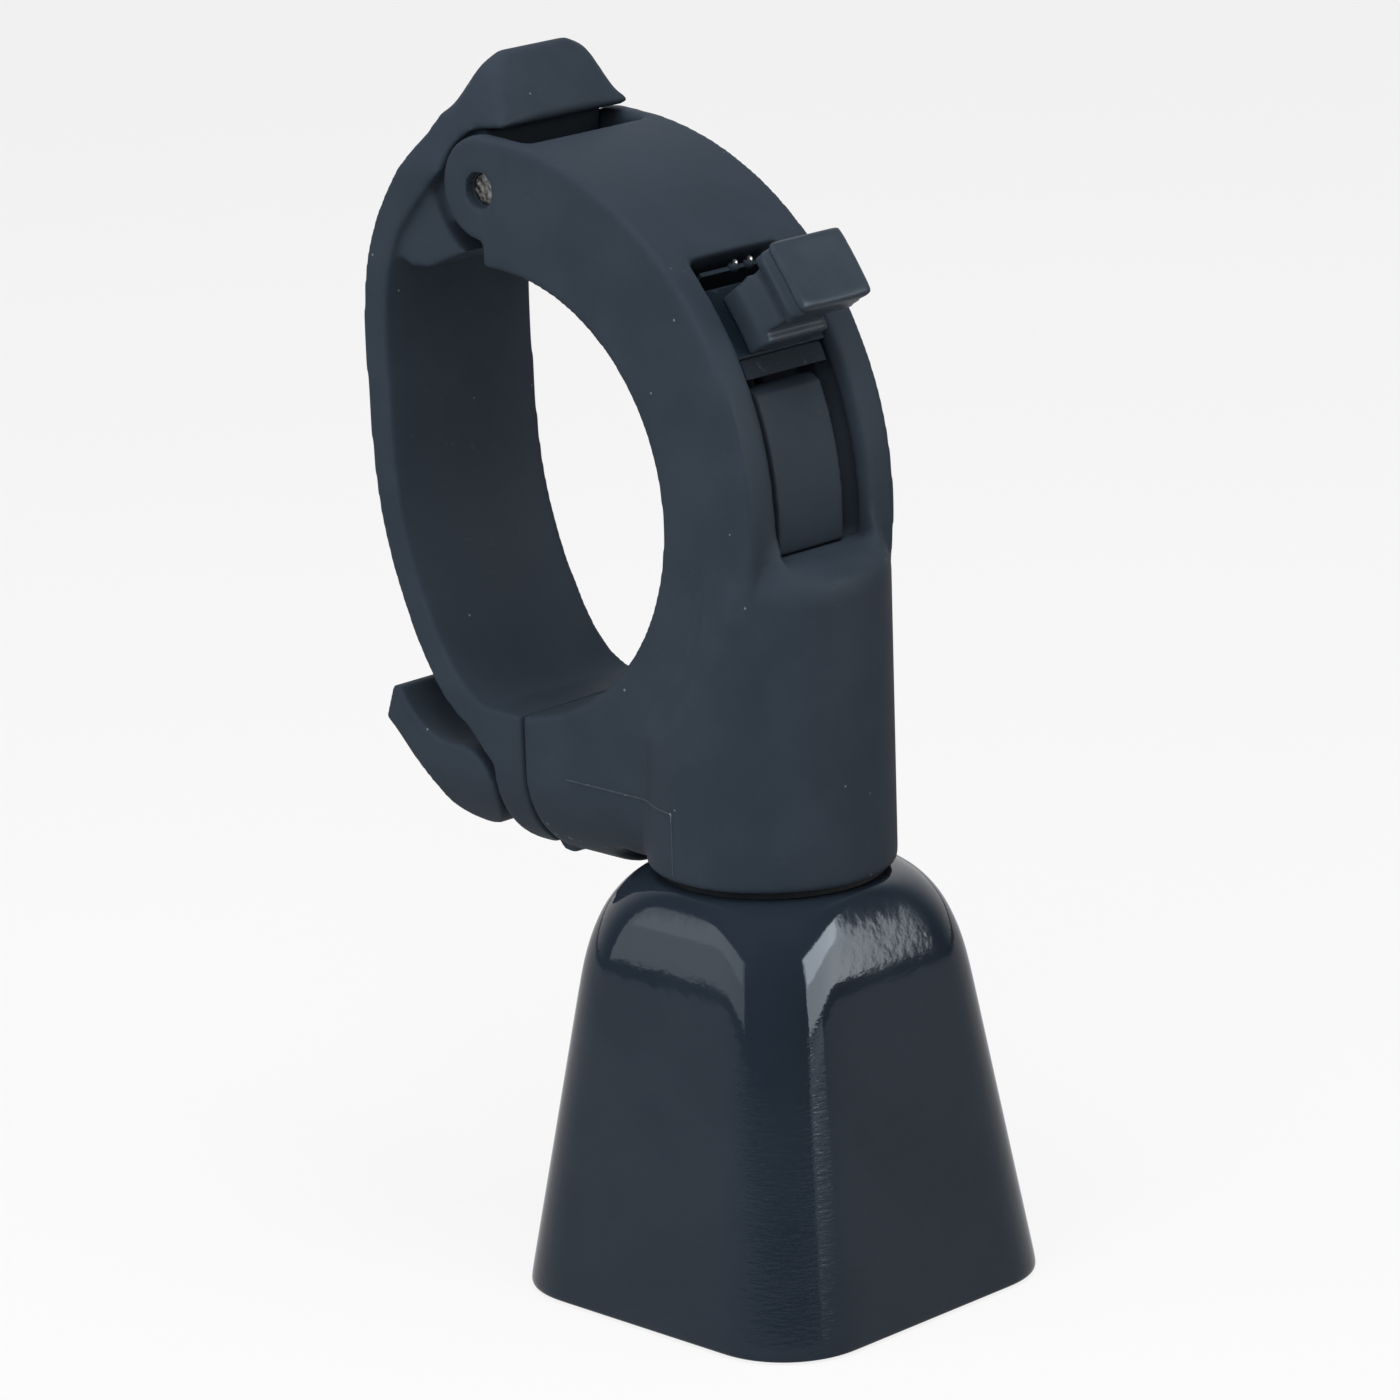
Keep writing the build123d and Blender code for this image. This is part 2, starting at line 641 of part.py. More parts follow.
def bell_skin(inset, crown_z, low_z):
    """Closed form of the bell, drawn inwards by a wall."""
    waist_z = crown_z - shoulder_h
    stations = [
        (crown_z, crown_r - inset, 0.97),
        (crown_z - 0.8, crown_r - inset + 1.25, 0.86),
        (crown_z - 2.3, bell_half(crown_z - 2.3) - inset - 0.2, 0.71),
        (crown_z - 4.6, bell_half(crown_z - 4.6) - inset - 0.01, 0.57),
        (waist_z, bell_half(waist_z) - inset, 0.5),
    ]
    with BuildPart() as skin:
        for z, half, share in stations:
            with BuildSketch(Plane.XY.offset(z)):
                bell_section(half, share)
        loft()
        with BuildSketch(Plane.XY.offset(waist_z)):
            bell_section(bell_half(waist_z) - inset, 0.5)
        with BuildSketch(Plane.XY.offset(low_z)):
            bell_section(bell_half(low_z) - inset, corner_share)
        loft()
    return skin.part


bell_outside = bell_skin(0, bell_top, mouth_z)
bell_inside = bell_skin(bell_wall, inner_top, mouth_z)

with BuildPart() as bell_shell:
    add(bell_outside)
    add(bell_inside, mode=Mode.SUBTRACT)
    with BuildSketch(Plane.XY.offset(inner_top - 1)):
        with Locations((neck_x, 0)):
            Circle(bolt_shank_r + bolt_play)
    extrude(amount=bell_wall + 2, mode=Mode.SUBTRACT)
finish(bell_shell, "bell_shell")

with BuildPart() as crown_washer:
    with BuildSketch(Plane.XY.offset(bell_top)):
        with Locations((neck_x, 0)):
            Circle(crown_r - 0.5)
            Circle(bolt_shank_r + bolt_play, mode=Mode.SUBTRACT)
    extrude(amount=washer_t)
finish(crown_washer, "crown_washer")

with BuildPart() as inner_washer:
    with BuildSketch(Plane.XY.offset(head_top)):
        with Locations((neck_x, 0)):
            Circle(inner_washer_r)
            Circle(bolt_shank_r + bolt_play, mode=Mode.SUBTRACT)
    extrude(amount=inner_washer_t)
finish(inner_washer, "inner_washer")

with BuildPart() as hollow_bolt:
    with BuildSketch(Plane.XY.offset(head_low)):
        with Locations((neck_x, 0)):
            RegularPolygon(head_flats / 2, 6, major_radius=False)
    extrude(amount=head_t)
    with BuildSketch(Plane.XY.offset(head_top)):
        with Locations((neck_x, 0)):
            Circle(bolt_shank_r)
    extrude(amount=bolt_top_z - head_top)
    with BuildSketch(Plane.XY.offset(bead_z)):
        with Locations((neck_x, 0)):
            Circle(bolt_bore_r)
    extrude(amount=bolt_top_z - bead_z, mode=Mode.SUBTRACT)
    with Locations((neck_x, 0, bead_z)):
        Sphere(bead_r + bead_play, mode=Mode.SUBTRACT)
finish(hollow_bolt, "hollow_bolt")

with BuildPart() as mute_pad:
    with BuildSketch(Plane.XY.offset(pad_low)):
        with Locations((neck_x, 0)):
            Circle(pad_r)
            Circle(pad_hole_r, mode=Mode.SUBTRACT)
    extrude(amount=pad_t)
finish(mute_pad, "mute_pad")

# --- Clapper ------------------------------------------------------------------------------
with BuildPart() as swivel_bead:
    with Locations((neck_x, 0, bead_z)):
        Sphere(bead_r)
        Cylinder(bead_hole_r, 3 * bead_r, mode=Mode.SUBTRACT)
finish(swivel_bead, "swivel_bead")

with BuildPart() as clapper:
    with BuildSketch(Plane(origin=(neck_x, 0, 0), x_dir=(1, 0, 0), z_dir=(0, -1, 0))):
        with BuildLine():
            Polyline(
                (cable_r, clapper_top),
                (clapper_tip_r, clapper_top),
                (clapper_r, clapper_top - clapper_cone_h),
                (clapper_r, clapper_low + 1.2),
                (clapper_r - 1.2, clapper_low),
                (cable_r, clapper_low),
                close=True,
            )
        make_face()
    revolve(axis=Axis((neck_x, 0, 0), (0, 0, 1)))
finish(clapper, "clapper")

with BuildPart() as clapper_ferrule:
    with BuildSketch(Plane.XY.offset(clapper_low - ferrule_h)):
        with Locations((neck_x, 0)):
            Circle(ferrule_r)
            Circle(cable_r, mode=Mode.SUBTRACT)
    extrude(amount=ferrule_h)
finish(clapper_ferrule, "clapper_ferrule")

with BuildPart() as clapper_wire:
    with BuildSketch(Plane.XY.offset(clapper_low - ferrule_h)):
        with Locations((neck_x, 0)):
            Circle(cable_r)
    extrude(amount=bolt_top_z - clapper_low + ferrule_h)
finish(clapper_wire, "clapper_wire")
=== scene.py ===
import json
import math

import bmesh
import bpy
from mathutils import Matrix, Vector, noise
from mathutils.bvhtree import BVHTree


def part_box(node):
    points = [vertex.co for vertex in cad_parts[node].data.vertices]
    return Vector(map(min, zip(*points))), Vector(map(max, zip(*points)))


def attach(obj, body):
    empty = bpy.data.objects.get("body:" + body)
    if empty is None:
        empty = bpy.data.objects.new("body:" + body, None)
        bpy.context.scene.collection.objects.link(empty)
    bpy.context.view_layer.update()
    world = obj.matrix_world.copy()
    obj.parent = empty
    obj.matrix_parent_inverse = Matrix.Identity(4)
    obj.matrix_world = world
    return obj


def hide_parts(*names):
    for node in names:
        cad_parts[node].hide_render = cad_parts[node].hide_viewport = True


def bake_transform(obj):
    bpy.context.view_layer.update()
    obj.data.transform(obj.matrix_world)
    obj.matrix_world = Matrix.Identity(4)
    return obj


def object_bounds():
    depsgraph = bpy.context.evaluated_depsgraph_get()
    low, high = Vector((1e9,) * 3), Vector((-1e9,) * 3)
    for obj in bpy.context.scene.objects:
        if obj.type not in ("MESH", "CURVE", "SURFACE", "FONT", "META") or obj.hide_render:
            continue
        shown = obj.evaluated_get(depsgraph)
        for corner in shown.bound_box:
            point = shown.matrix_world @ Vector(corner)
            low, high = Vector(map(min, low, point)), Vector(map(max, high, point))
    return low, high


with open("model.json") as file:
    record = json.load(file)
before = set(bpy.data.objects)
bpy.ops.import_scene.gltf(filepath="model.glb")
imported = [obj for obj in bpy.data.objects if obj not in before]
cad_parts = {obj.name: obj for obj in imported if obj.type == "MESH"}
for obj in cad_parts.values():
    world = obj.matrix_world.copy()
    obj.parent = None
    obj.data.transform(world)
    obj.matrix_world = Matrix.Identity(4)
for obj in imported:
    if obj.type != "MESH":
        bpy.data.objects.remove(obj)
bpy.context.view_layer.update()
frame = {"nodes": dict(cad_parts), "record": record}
nodes = frame["nodes"]
bodyOfNode = {n: body for body, members in frame["record"]["behaviour"]["bodies"].items() for n in members}
mm = 0.001
weld = 0.001  # points closer than this, in mm, are merged before a remesh
print("frame loaded:", len(nodes), "nodes")

# the camera stands to the front right of the part, a little above it
shot = {
    "target": (14.67, -1.45, -15.31),
    "azimuth": 44.6,
    "elevation": 15.8,
    "roll": -1.75,
    "distance": 512.0,
    "lens": 172.3,
    "sensor": 36.0,
}


def newObject(name, data):
    made = bpy.data.objects.new(name, data)
    bpy.context.scene.collection.objects.link(made)
    return made


def placeCamera():
    azimuth, elevation, roll = (math.radians(shot[k]) for k in ("azimuth", "elevation", "roll"))
    back = Vector((math.sin(azimuth) * math.cos(elevation), -math.cos(azimuth) * math.cos(elevation),
                   math.sin(elevation)))
    level = Vector((math.cos(azimuth), math.sin(azimuth), 0))
    upright = back.cross(level)
    right = level * math.cos(roll) + upright * math.sin(roll)
    up = upright * math.cos(roll) - level * math.sin(roll)
    camera = newObject("studioCamera", bpy.data.cameras.new("studioCamera"))
    turn = Matrix((right, up, back)).transposed().to_4x4()
    place = Vector(shot["target"]) + back * shot["distance"]
    camera.matrix_world = Matrix.Translation(place * mm) @ turn
    camera.data.sensor_width = shot["sensor"]
    camera.data.lens = shot["lens"]
    camera.data.clip_start = 0.05
    camera.data.clip_end = 20
    bpy.context.scene.camera = camera


placeCamera()
print("camera placed")


# small node helpers
def addNode(tree, kind, settings=None, **values):
    node = tree.nodes.new(kind)
    for key, value in (settings or {}).items():
        setattr(node, key, value)
    for key, value in values.items():
        node.inputs[key].default_value = value
    return node


def mathNode(tree, operation, first, second):
    node = addNode(tree, "ShaderNodeMath", {"operation": operation})
    for index, value in enumerate((first, second)):
        if isinstance(value, (int, float)):
            node.inputs[index].default_value = value
        else:
            tree.links.new(value, node.inputs[index])
    return node.outputs[0]


def rampNode(tree, value, low, high, lowOut=0.0, highOut=1.0):
    node = addNode(tree, "ShaderNodeMapRange", {"interpolation_type": "SMOOTHSTEP"})
    tree.links.new(value, node.inputs["Value"])
    ends = {"From Min": low, "From Max": high, "To Min": lowOut, "To Max": highOut}
    for name, number in ends.items():
        if isinstance(number, (int, float)):
            node.inputs[name].default_value = number
        else:
            tree.links.new(number, node.inputs[name])
    return node.outputs["Result"]


def mixColour(tree, mask, first, second):
    # inputs 6 and 7 and output 2 are the Mix node's colour sockets
    node = addNode(tree, "ShaderNodeMix", {"data_type": "RGBA"})
    for socket, value in ((node.inputs[0], mask), (node.inputs[6], first), (node.inputs[7], second)):
        if isinstance(value, (int, float)):
            socket.default_value = value
        elif isinstance(value, tuple):
            socket.default_value = (*value, 1.0)
        else:
            tree.links.new(value, socket)
    return node.outputs[2]


def newGroup(name, inputs, outputs):
    group = bpy.data.node_groups.new(name, "ShaderNodeTree")
    for label, kind, value in inputs:
        socket = group.interface.new_socket(label, in_out="INPUT", socket_type=kind)
        if value is not None:
            socket.default_value = value
    for label, kind in outputs:
        group.interface.new_socket(label, in_out="OUTPUT", socket_type=kind)
    return group, group.nodes.new("NodeGroupInput"), group.nodes.new("NodeGroupOutput")


def noiseAt(tree, vector, sizeMm, detail=2.0, roughness=0.5):
    node = addNode(tree, "ShaderNodeTexNoise", Detail=detail, Roughness=roughness)
    node.inputs["Scale"].default_value = 1 / (sizeMm * mm)
    tree.links.new(vector, node.inputs["Vector"])
    return node.outputs["Fac"]


def spread(tree, value, first=0.0, last=1.0):
    # a noise stays near its middle, so that band is stretched over the whole range
    return rampNode(tree, value, 0.3, 0.7, first, last)


# shared effects
effectLook = {
    # grain sizes and their shares of the height
    "fineMm": 0.16, "fineShare": 0.6, "pebbleMm": 0.3, "pebbleShare": 0.5, "patchMm": 7.0,
    # two sets of scratches, each with its turn and stretch, and the patches that they lie in
    "scratchSets": ((0.35, (1.0, 1.0, 14.0)), (1.2, (12.0, 1.0, 1.0))),
    "scratchMm": 1.1, "scratchBand": (0.69, 0.76), "scuffedMm": 5.0, "scuffedBand": (0.5, 0.68),
    "fleckMm": 0.9, "fleckBand": (0.58, 0.7),
    "dustCellMm": 1.3, "dustSize": 0.09,
}


def makeMouldGrain():
    # spark-eroded mould texture: fine pebbles over a faint slow unevenness
    group, source, result = newGroup(
        "mouldGrain", [("Vector", "NodeSocketVector", None)],
        [("Height", "NodeSocketFloat"), ("Patch", "NodeSocketFloat")])
    fine = noiseAt(group, source.outputs["Vector"], effectLook["fineMm"], 3.0, 0.6)
    pebble = addNode(group, "ShaderNodeTexVoronoi", {"feature": "SMOOTH_F1"},
                     Scale=1 / (effectLook["pebbleMm"] * mm))
    group.links.new(source.outputs["Vector"], pebble.inputs["Vector"])
    slow = noiseAt(group, source.outputs["Vector"], effectLook["patchMm"], 3.0, 0.55)
    total = mathNode(group, "ADD", mathNode(group, "MULTIPLY", fine, effectLook["fineShare"]),
                     mathNode(group, "MULTIPLY", pebble.outputs["Distance"], effectLook["pebbleShare"]))
    group.links.new(total, result.inputs["Height"])
    group.links.new(slow, result.inputs["Patch"])
    return group


def makeScuffs():
    # short hairline scratches in two directions, broken up by a slow mask
    group, source, result = newGroup(
        "scuffs", [("Vector", "NodeSocketVector", None), ("Amount", "NodeSocketFloat", 0.5)],
        [("Mask", "NodeSocketFloat")])
    masks = []
    for turn, stretch in effectLook["scratchSets"]:
        mapping = addNode(group, "ShaderNodeMapping", Rotation=(0.3, turn, 0.2), Scale=stretch)
        group.links.new(source.outputs["Vector"], mapping.inputs["Vector"])
        line = noiseAt(group, mapping.outputs["Vector"], effectLook["scratchMm"], 1.0)
        masks.append(rampNode(group, line, *effectLook["scratchBand"]))
    patches = noiseAt(group, source.outputs["Vector"], effectLook["scuffedMm"])
    broken = rampNode(group, patches, *effectLook["scuffedBand"])
    both = mathNode(group, "MAXIMUM", masks[0], masks[1])
    mask = mathNode(group, "MULTIPLY", mathNode(group, "MULTIPLY", both, broken),
                    source.outputs["Amount"])
    group.links.new(mask, result.inputs["Mask"])
    return group


def makeEdgeFlecks():
    # light flecks along convex mould lines
    group, source, result = newGroup(
        "edgeFlecks",
        [("Vector", "NodeSocketVector", None), ("Start", "NodeSocketFloat", 0.53),
         ("Full", "NodeSocketFloat", 0.6)],
        [("Mask", "NodeSocketFloat")])
    pointed = addNode(group, "ShaderNodeNewGeometry").outputs["Pointiness"]
    edge = rampNode(group, pointed, source.outputs["Start"], source.outputs["Full"])
    patches = noiseAt(group, source.outputs["Vector"], effectLook["fleckMm"], 4.0, 0.7)
    speck = rampNode(group, patches, *effectLook["fleckBand"])
    group.links.new(mathNode(group, "MULTIPLY", edge, speck), result.inputs["Mask"])
    return group


def makeDustSpecks():
    # a few tiny pale specks, far apart
    group, source, result = newGroup(
        "dustSpecks", [("Vector", "NodeSocketVector", None), ("Share", "NodeSocketFloat", 0.12)],
        [("Mask", "NodeSocketFloat")])
    cell = addNode(group, "ShaderNodeTexVoronoi", {"feature": "F1"},
                   Scale=1 / (effectLook["dustCellMm"] * mm))
    group.links.new(source.outputs["Vector"], cell.inputs["Vector"])
    split = addNode(group, "ShaderNodeSeparateColor")
    group.links.new(cell.outputs["Color"], split.inputs["Color"])
    chosen = mathNode(group, "LESS_THAN", split.outputs[0], source.outputs["Share"])
    size = mathNode(group, "MULTIPLY", split.outputs[1], effectLook["dustSize"])
    near = mathNode(group, "LESS_THAN", cell.outputs["Distance"], size)
    group.links.new(mathNode(group, "MULTIPLY", chosen, near), result.inputs["Mask"])
    return group


shared = {"mouldGrain": makeMouldGrain(), "scuffs": makeScuffs(), "edgeFlecks": makeEdgeFlecks(),
          "dustSpecks": makeDustSpecks()}


def useGroup(tree, name, vector, **values):
    node = addNode(tree, "ShaderNodeGroup", {"node_tree": shared[name]}, **values)
    tree.links.new(vector, node.inputs["Vector"])
    return node


def newMaterial(name, **values):
    material = bpy.data.materials.new(name)
    material.use_nodes = True
    tree = material.node_tree
    tree.nodes.clear()
    shader = addNode(tree, "ShaderNodeBsdfPrincipled", **values)
    output = addNode(tree, "ShaderNodeOutputMaterial")
    tree.links.new(shader.outputs["BSDF"], output.inputs["Surface"])
    where = addNode(tree, "ShaderNodeTexCoord").outputs["Object"]
    return material, tree, shader, where


def bumpInto(tree, shader, height, depthMm, strength=1.0, below=None):
    bump = addNode(tree, "ShaderNodeBump", Strength=strength)
    bump.inputs["Distance"].default_value = depthMm * mm
    tree.links.new(height, bump.inputs["Height"])
    if below is not None:
        tree.links.new(below, bump.inputs["Normal"])
    tree.links.new(bump.outputs["Normal"], shader.inputs["Normal"])
    return bump.outputs["Normal"]


# materials
mouldedLook = {
    "deep": (0.0252, 0.0345, 0.047), "pale": (0.0312, 0.0415, 0.056),
    "gloss": 0.05, "glossTint": (0.82, 0.92, 1.0), "grainDepth": 0.012,
    "scuff": (0.055, 0.065, 0.08), "scuffAmount": 0.35,
    "speck": (0.16, 0.18, 0.2), "speckShare": 0.1,
    "fleck": (0.26, 0.30, 0.34), "fleckFade": 0.05,
}


def mouldedPlastic(name, deep, pale, roughness=(0.5, 0.62), fleckStart=0.55, fleckShare=0.6, gloss=1.0):
    material, tree, shader, where = newMaterial(name)
    shader.inputs["Specular IOR Level"].default_value = mouldedLook["gloss"] * gloss
    shader.inputs["Specular Tint"].default_value = (*mouldedLook["glossTint"], 1)
    grain = useGroup(tree, "mouldGrain", where)
    scuff = useGroup(tree, "scuffs", where, Amount=mouldedLook["scuffAmount"])
    fleck = useGroup(tree, "edgeFlecks", where, Start=fleckStart, Full=fleckStart + mouldedLook["fleckFade"])
    speck = useGroup(tree, "dustSpecks", where, Share=mouldedLook["speckShare"])
    tint = mixColour(tree, spread(tree, grain.outputs["Patch"]), deep, pale)
    tint = mixColour(tree, scuff.outputs["Mask"], tint, mouldedLook["scuff"])
    tint = mixColour(tree, speck.outputs["Mask"], tint, mouldedLook["speck"])
    tint = mixColour(tree, mathNode(tree, "MULTIPLY", fleck.outputs["Mask"], fleckShare), tint,
                     mouldedLook["fleck"])
    tree.links.new(tint, shader.inputs["Base Color"])
    tree.links.new(spread(tree, grain.outputs["Patch"], *roughness), shader.inputs["Roughness"])
    bumpInto(tree, shader, grain.outputs["Height"], mouldedLook["grainDepth"], 0.7)
    return material


enamelLook = {
    "deep": (0.0125, 0.0188, 0.0285), "pale": (0.0147, 0.0218, 0.032), "patchMm": 9.0,
    "gloss": 0.28, "glossTint": (0.8, 0.9, 1.0), "roughness": (0.055, 0.095), "scuffAmount": 0.25,
    "peelMm": 1.1, "peelDepth": 0.010,
    # fine level ripples in the enamel, full below the first height and faint above the second
    "streakMm": 0.24, "streakStretch": (0.22, 0.22, 1.0), "streakDepth": 0.013,
    "streakFades": (-43.0, -35.0), "streakFaint": 0.15,
}


def glossEnamel():
    material, tree, shader, where = newMaterial("glossEnamel")
    shader.inputs["Specular IOR Level"].default_value = enamelLook["gloss"]
    shader.inputs["Specular Tint"].default_value = (*enamelLook["glossTint"], 1)
    slow = noiseAt(tree, where, enamelLook["patchMm"], 2.0)
    peel = noiseAt(tree, where, enamelLook["peelMm"], 2.0)
    mapping = addNode(tree, "ShaderNodeMapping", Scale=enamelLook["streakStretch"])
    tree.links.new(where, mapping.inputs["Vector"])
    streak = noiseAt(tree, mapping.outputs["Vector"], enamelLook["streakMm"], 2.0, 0.6)
    height = addNode(tree, "ShaderNodeSeparateXYZ")
    tree.links.new(where, height.inputs[0])
    low, high = (z * mm for z in enamelLook["streakFades"])
    share = rampNode(tree, height.outputs["Z"], low, high, 1.0, enamelLook["streakFaint"])
    streak = mathNode(tree, "MULTIPLY", streak, share)
    scuff = useGroup(tree, "scuffs", where, Amount=enamelLook["scuffAmount"])
    tint = mixColour(tree, rampNode(tree, slow, 0.35, 0.65), enamelLook["deep"], enamelLook["pale"])
    tree.links.new(tint, shader.inputs["Base Color"])
    rough = mathNode(tree, "ADD", spread(tree, slow, *enamelLook["roughness"]),
                     mathNode(tree, "MULTIPLY", scuff.outputs["Mask"], 0.3))
    tree.links.new(rough, shader.inputs["Roughness"])
    below = bumpInto(tree, shader, peel, enamelLook["peelDepth"])
    bumpInto(tree, shader, streak, enamelLook["streakDepth"], 1.0, below)
    return material


def grainOver(tree, shader, slow, grain, deep, pale, roughness):
    # colour from a slow unevenness, roughness from the grain
    tree.links.new(mixColour(tree, spread(tree, slow), deep, pale), shader.inputs["Base Color"])
    tree.links.new(spread(tree, grain, *roughness), shader.inputs["Roughness"])


def metalFinish(name, deep, pale, roughness, grainMm=0.12, depth=0.006, stretch=(1.0, 1.0, 1.0)):
    material, tree, shader, where = newMaterial(name, Metallic=1.0)
    mapping = addNode(tree, "ShaderNodeMapping", Scale=stretch)
    tree.links.new(where, mapping.inputs["Vector"])
    grain = noiseAt(tree, mapping.outputs["Vector"], grainMm, 3.0, 0.6)
    slow = noiseAt(tree, where, 2.5, 2.0)
    grainOver(tree, shader, slow, grain, deep, pale, roughness)
    bumpInto(tree, shader, grain, depth, 0.8)
    return material


def softFinish(name, deep, pale, roughness, grainMm=0.2, depth=0.01, gloss=0.5):
    material, tree, shader, where = newMaterial(name)
    shader.inputs["Specular IOR Level"].default_value = gloss
    grain = noiseAt(tree, where, grainMm, 4.0, 0.6)
    slow = noiseAt(tree, where, 3.0, 2.0)
    grainOver(tree, shader, slow, grain, deep, pale, roughness)
    bumpInto(tree, shader, grain, depth, 0.6)
    return material


finishes = {
    "moulded": mouldedPlastic("mouldedNylon", mouldedLook["deep"], mouldedLook["pale"]),
    "handled": mouldedPlastic("handledNylon", mouldedLook["deep"], mouldedLook["pale"], (0.3, 0.4),
                              gloss=2.5),
    # painted shade: the runner, its sheet and the pull cable get this near-black tone, which stands in for
    # the shade deep in the slot
    "runner": mouldedPlastic("runnerPaintedShade", (0.005, 0.009, 0.014), (0.007, 0.012, 0.019), (0.4, 0.5),
                             fleckShare=0.1),
    # painted shade: the steel detent spring gets a dark moulded tone that stands in for the shade deep in the
    # slot; only its tips keep bare steel
    "springPaintedShade": mouldedPlastic("steelPaintedShade", (0.016, 0.023, 0.032), (0.022, 0.031, 0.042),
                                   fleckShare=0.1),
    "mouldLine": mouldedPlastic("mouldFlash", (0.036, 0.046, 0.060), (0.052, 0.065, 0.08),
                                fleckStart=0.4),
    "enamel": glossEnamel(),
    "steel": metalFinish("plainSteel", (0.50, 0.50, 0.49), (0.62, 0.62, 0.60), (0.28, 0.42)),
    "blasted": metalFinish("blastedSteel", (0.10, 0.10, 0.10), (0.30, 0.30, 0.29), (0.3, 0.5), 0.16, 0.03),
    "wire": metalFinish("wireSteel", (0.42, 0.42, 0.41), (0.58, 0.58, 0.56), (0.3, 0.45), 0.2, 0.02,
                        (1.0, 1.0, 0.25)),
    "brass": metalFinish("turnedBrass", (0.62, 0.43, 0.17), (0.76, 0.57, 0.27), (0.22, 0.36), 0.3, 0.012,
                         (0.15, 0.15, 3.0)),
    "rubber": softFinish("blackRubber", (0.006, 0.008, 0.010), (0.012, 0.014, 0.016), (0.7, 0.85), gloss=0.1),
    "nylon": softFinish("naturalNylon", (0.66, 0.64, 0.58), (0.76, 0.75, 0.70), (0.4, 0.5)),
}
print("materials made:", len(finishes))


# piece helpers
def paintSmooth(mesh, finish):
    mesh.materials.clear()
    mesh.materials.append(finishes[finish])
    for polygon in mesh.polygons:
        polygon.use_smooth = True


def addPiece(name, mesh, finish, node, replacing=True):
    piece = newObject(name, mesh)
    paintSmooth(mesh, finish)
    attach(piece, bodyOfNode[node])
    if replacing:
        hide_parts(node)
    return piece


def meshFrom(bm, name):
    mesh = bpy.data.meshes.new(name)
    bm.to_mesh(mesh)
    bm.free()
    return mesh


def finalMesh(draft):
    # the mesh that an object's modifiers or curve give
    graph = bpy.context.evaluated_depsgraph_get()
    return bpy.data.meshes.new_from_object(draft.evaluated_get(graph))


def formFrom(mesh):
    bm = bmesh.new()
    bm.from_mesh(mesh)
    bpy.data.meshes.remove(mesh)
    return bm


def remeshedCopy(node, voxelMm):
    # the solid's copy, merged and rebuilt as one even skin
    bm = bmesh.new()
    bm.from_mesh(nodes[node].data)
    bmesh.ops.remove_doubles(bm, verts=bm.verts, dist=weld * mm)
    draft = newObject("draft", meshFrom(bm, "draft"))
    remesh = draft.modifiers.new("remesh", "REMESH")
    remesh.mode = "VOXEL"
    remesh.voxel_size = voxelMm * mm
    mesh = finalMesh(draft)
    bpy.data.objects.remove(draft)
    return formFrom(mesh)


def smoothWhere(bm, times, keep=lambda place: True):
    chosen = [v for v in bm.verts if keep(v.co / mm)]
    for _ in range(times):
        bmesh.ops.smooth_vert(bm, verts=chosen, factor=0.5,
                              use_axis_x=True, use_axis_y=True, use_axis_z=True)


def cutAway(bm, tool):
    # one closed form less another; the caller keeps the new edges crisp
    main, other = newObject("main", meshFrom(bm, "main")), newObject("tool", meshFrom(tool, "tool"))
    cut = main.modifiers.new("cut", "BOOLEAN")
    cut.operation = "DIFFERENCE"
    cut.solver = "EXACT"
    cut.object = other
    mesh = finalMesh(main)
    for thing in (main, other):
        bpy.data.objects.remove(thing)
    return formFrom(mesh)


def middleOf(node):
    low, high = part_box(node)
    return (low + high) / 2 / mm


def polarOf(place):
    # distance from the bar's axis, and angle above the X axis in degrees
    return math.hypot(place.x, place.z), math.degrees(math.atan2(place.z, place.x))


def ramp(value, low, high):
    share = min(1.0, max(0.0, (value - low) / (high - low)))
    return share * share * (3 - 2 * share)


# the fixed half of the clamp
bodyShape = {
    "voxel": 0.26, "fineSmooth": 2, "edgeSmooth": 5, "rimSmooth": 16, "endSmooth": 22,
    # the mouth round the latch pin
    "pinMouth": 0.16, "pinMouthDepth": 0.8, "pinMouthSides": 64, "pinClear": 0.5, "crispAngle": 0.7,
    # places that stay crisp: round the hinge pin and inside the slot
    "hingeHalf": 4.2, "hingeReach": 3.0,
    "recessHalf": 5.6, "recessFrom": 14.0, "recessReach": 26.8, "recessLow": -3.0,
    # the slot's rim, and the bevel at its lower end
    "slotHalf": 4.9, "slotEndTurn": -4.5, "slotBevel": 1.1,
    "rimInner": 4.0, "rimOuter": 6.2, "rimReach": 26.2, "rimEndTurn": 50.0,
    "endHalf": 6.4, "endLow": -4.6, "endHigh": -0.9,
    "bevelFrom": 26.0, "bevelPast": 0.6, "bevelAbove": 0.2, "bevelBelow": 0.1,
    "bevelFadeIn": 1.2, "bevelFadeOut": 0.5, "probeFrom": 40.0, "probeBelow": 0.8,
    # the mould line
    "ridgeRadius": 0.09, "ridgeHeight": -21.7, "ridgeStart": 6.4, "ridgeTurn": 19.2, "ridgeEnd": -26.9,
    "ridgeStep": 0.4, "ridgeProbe": 20.0,
}


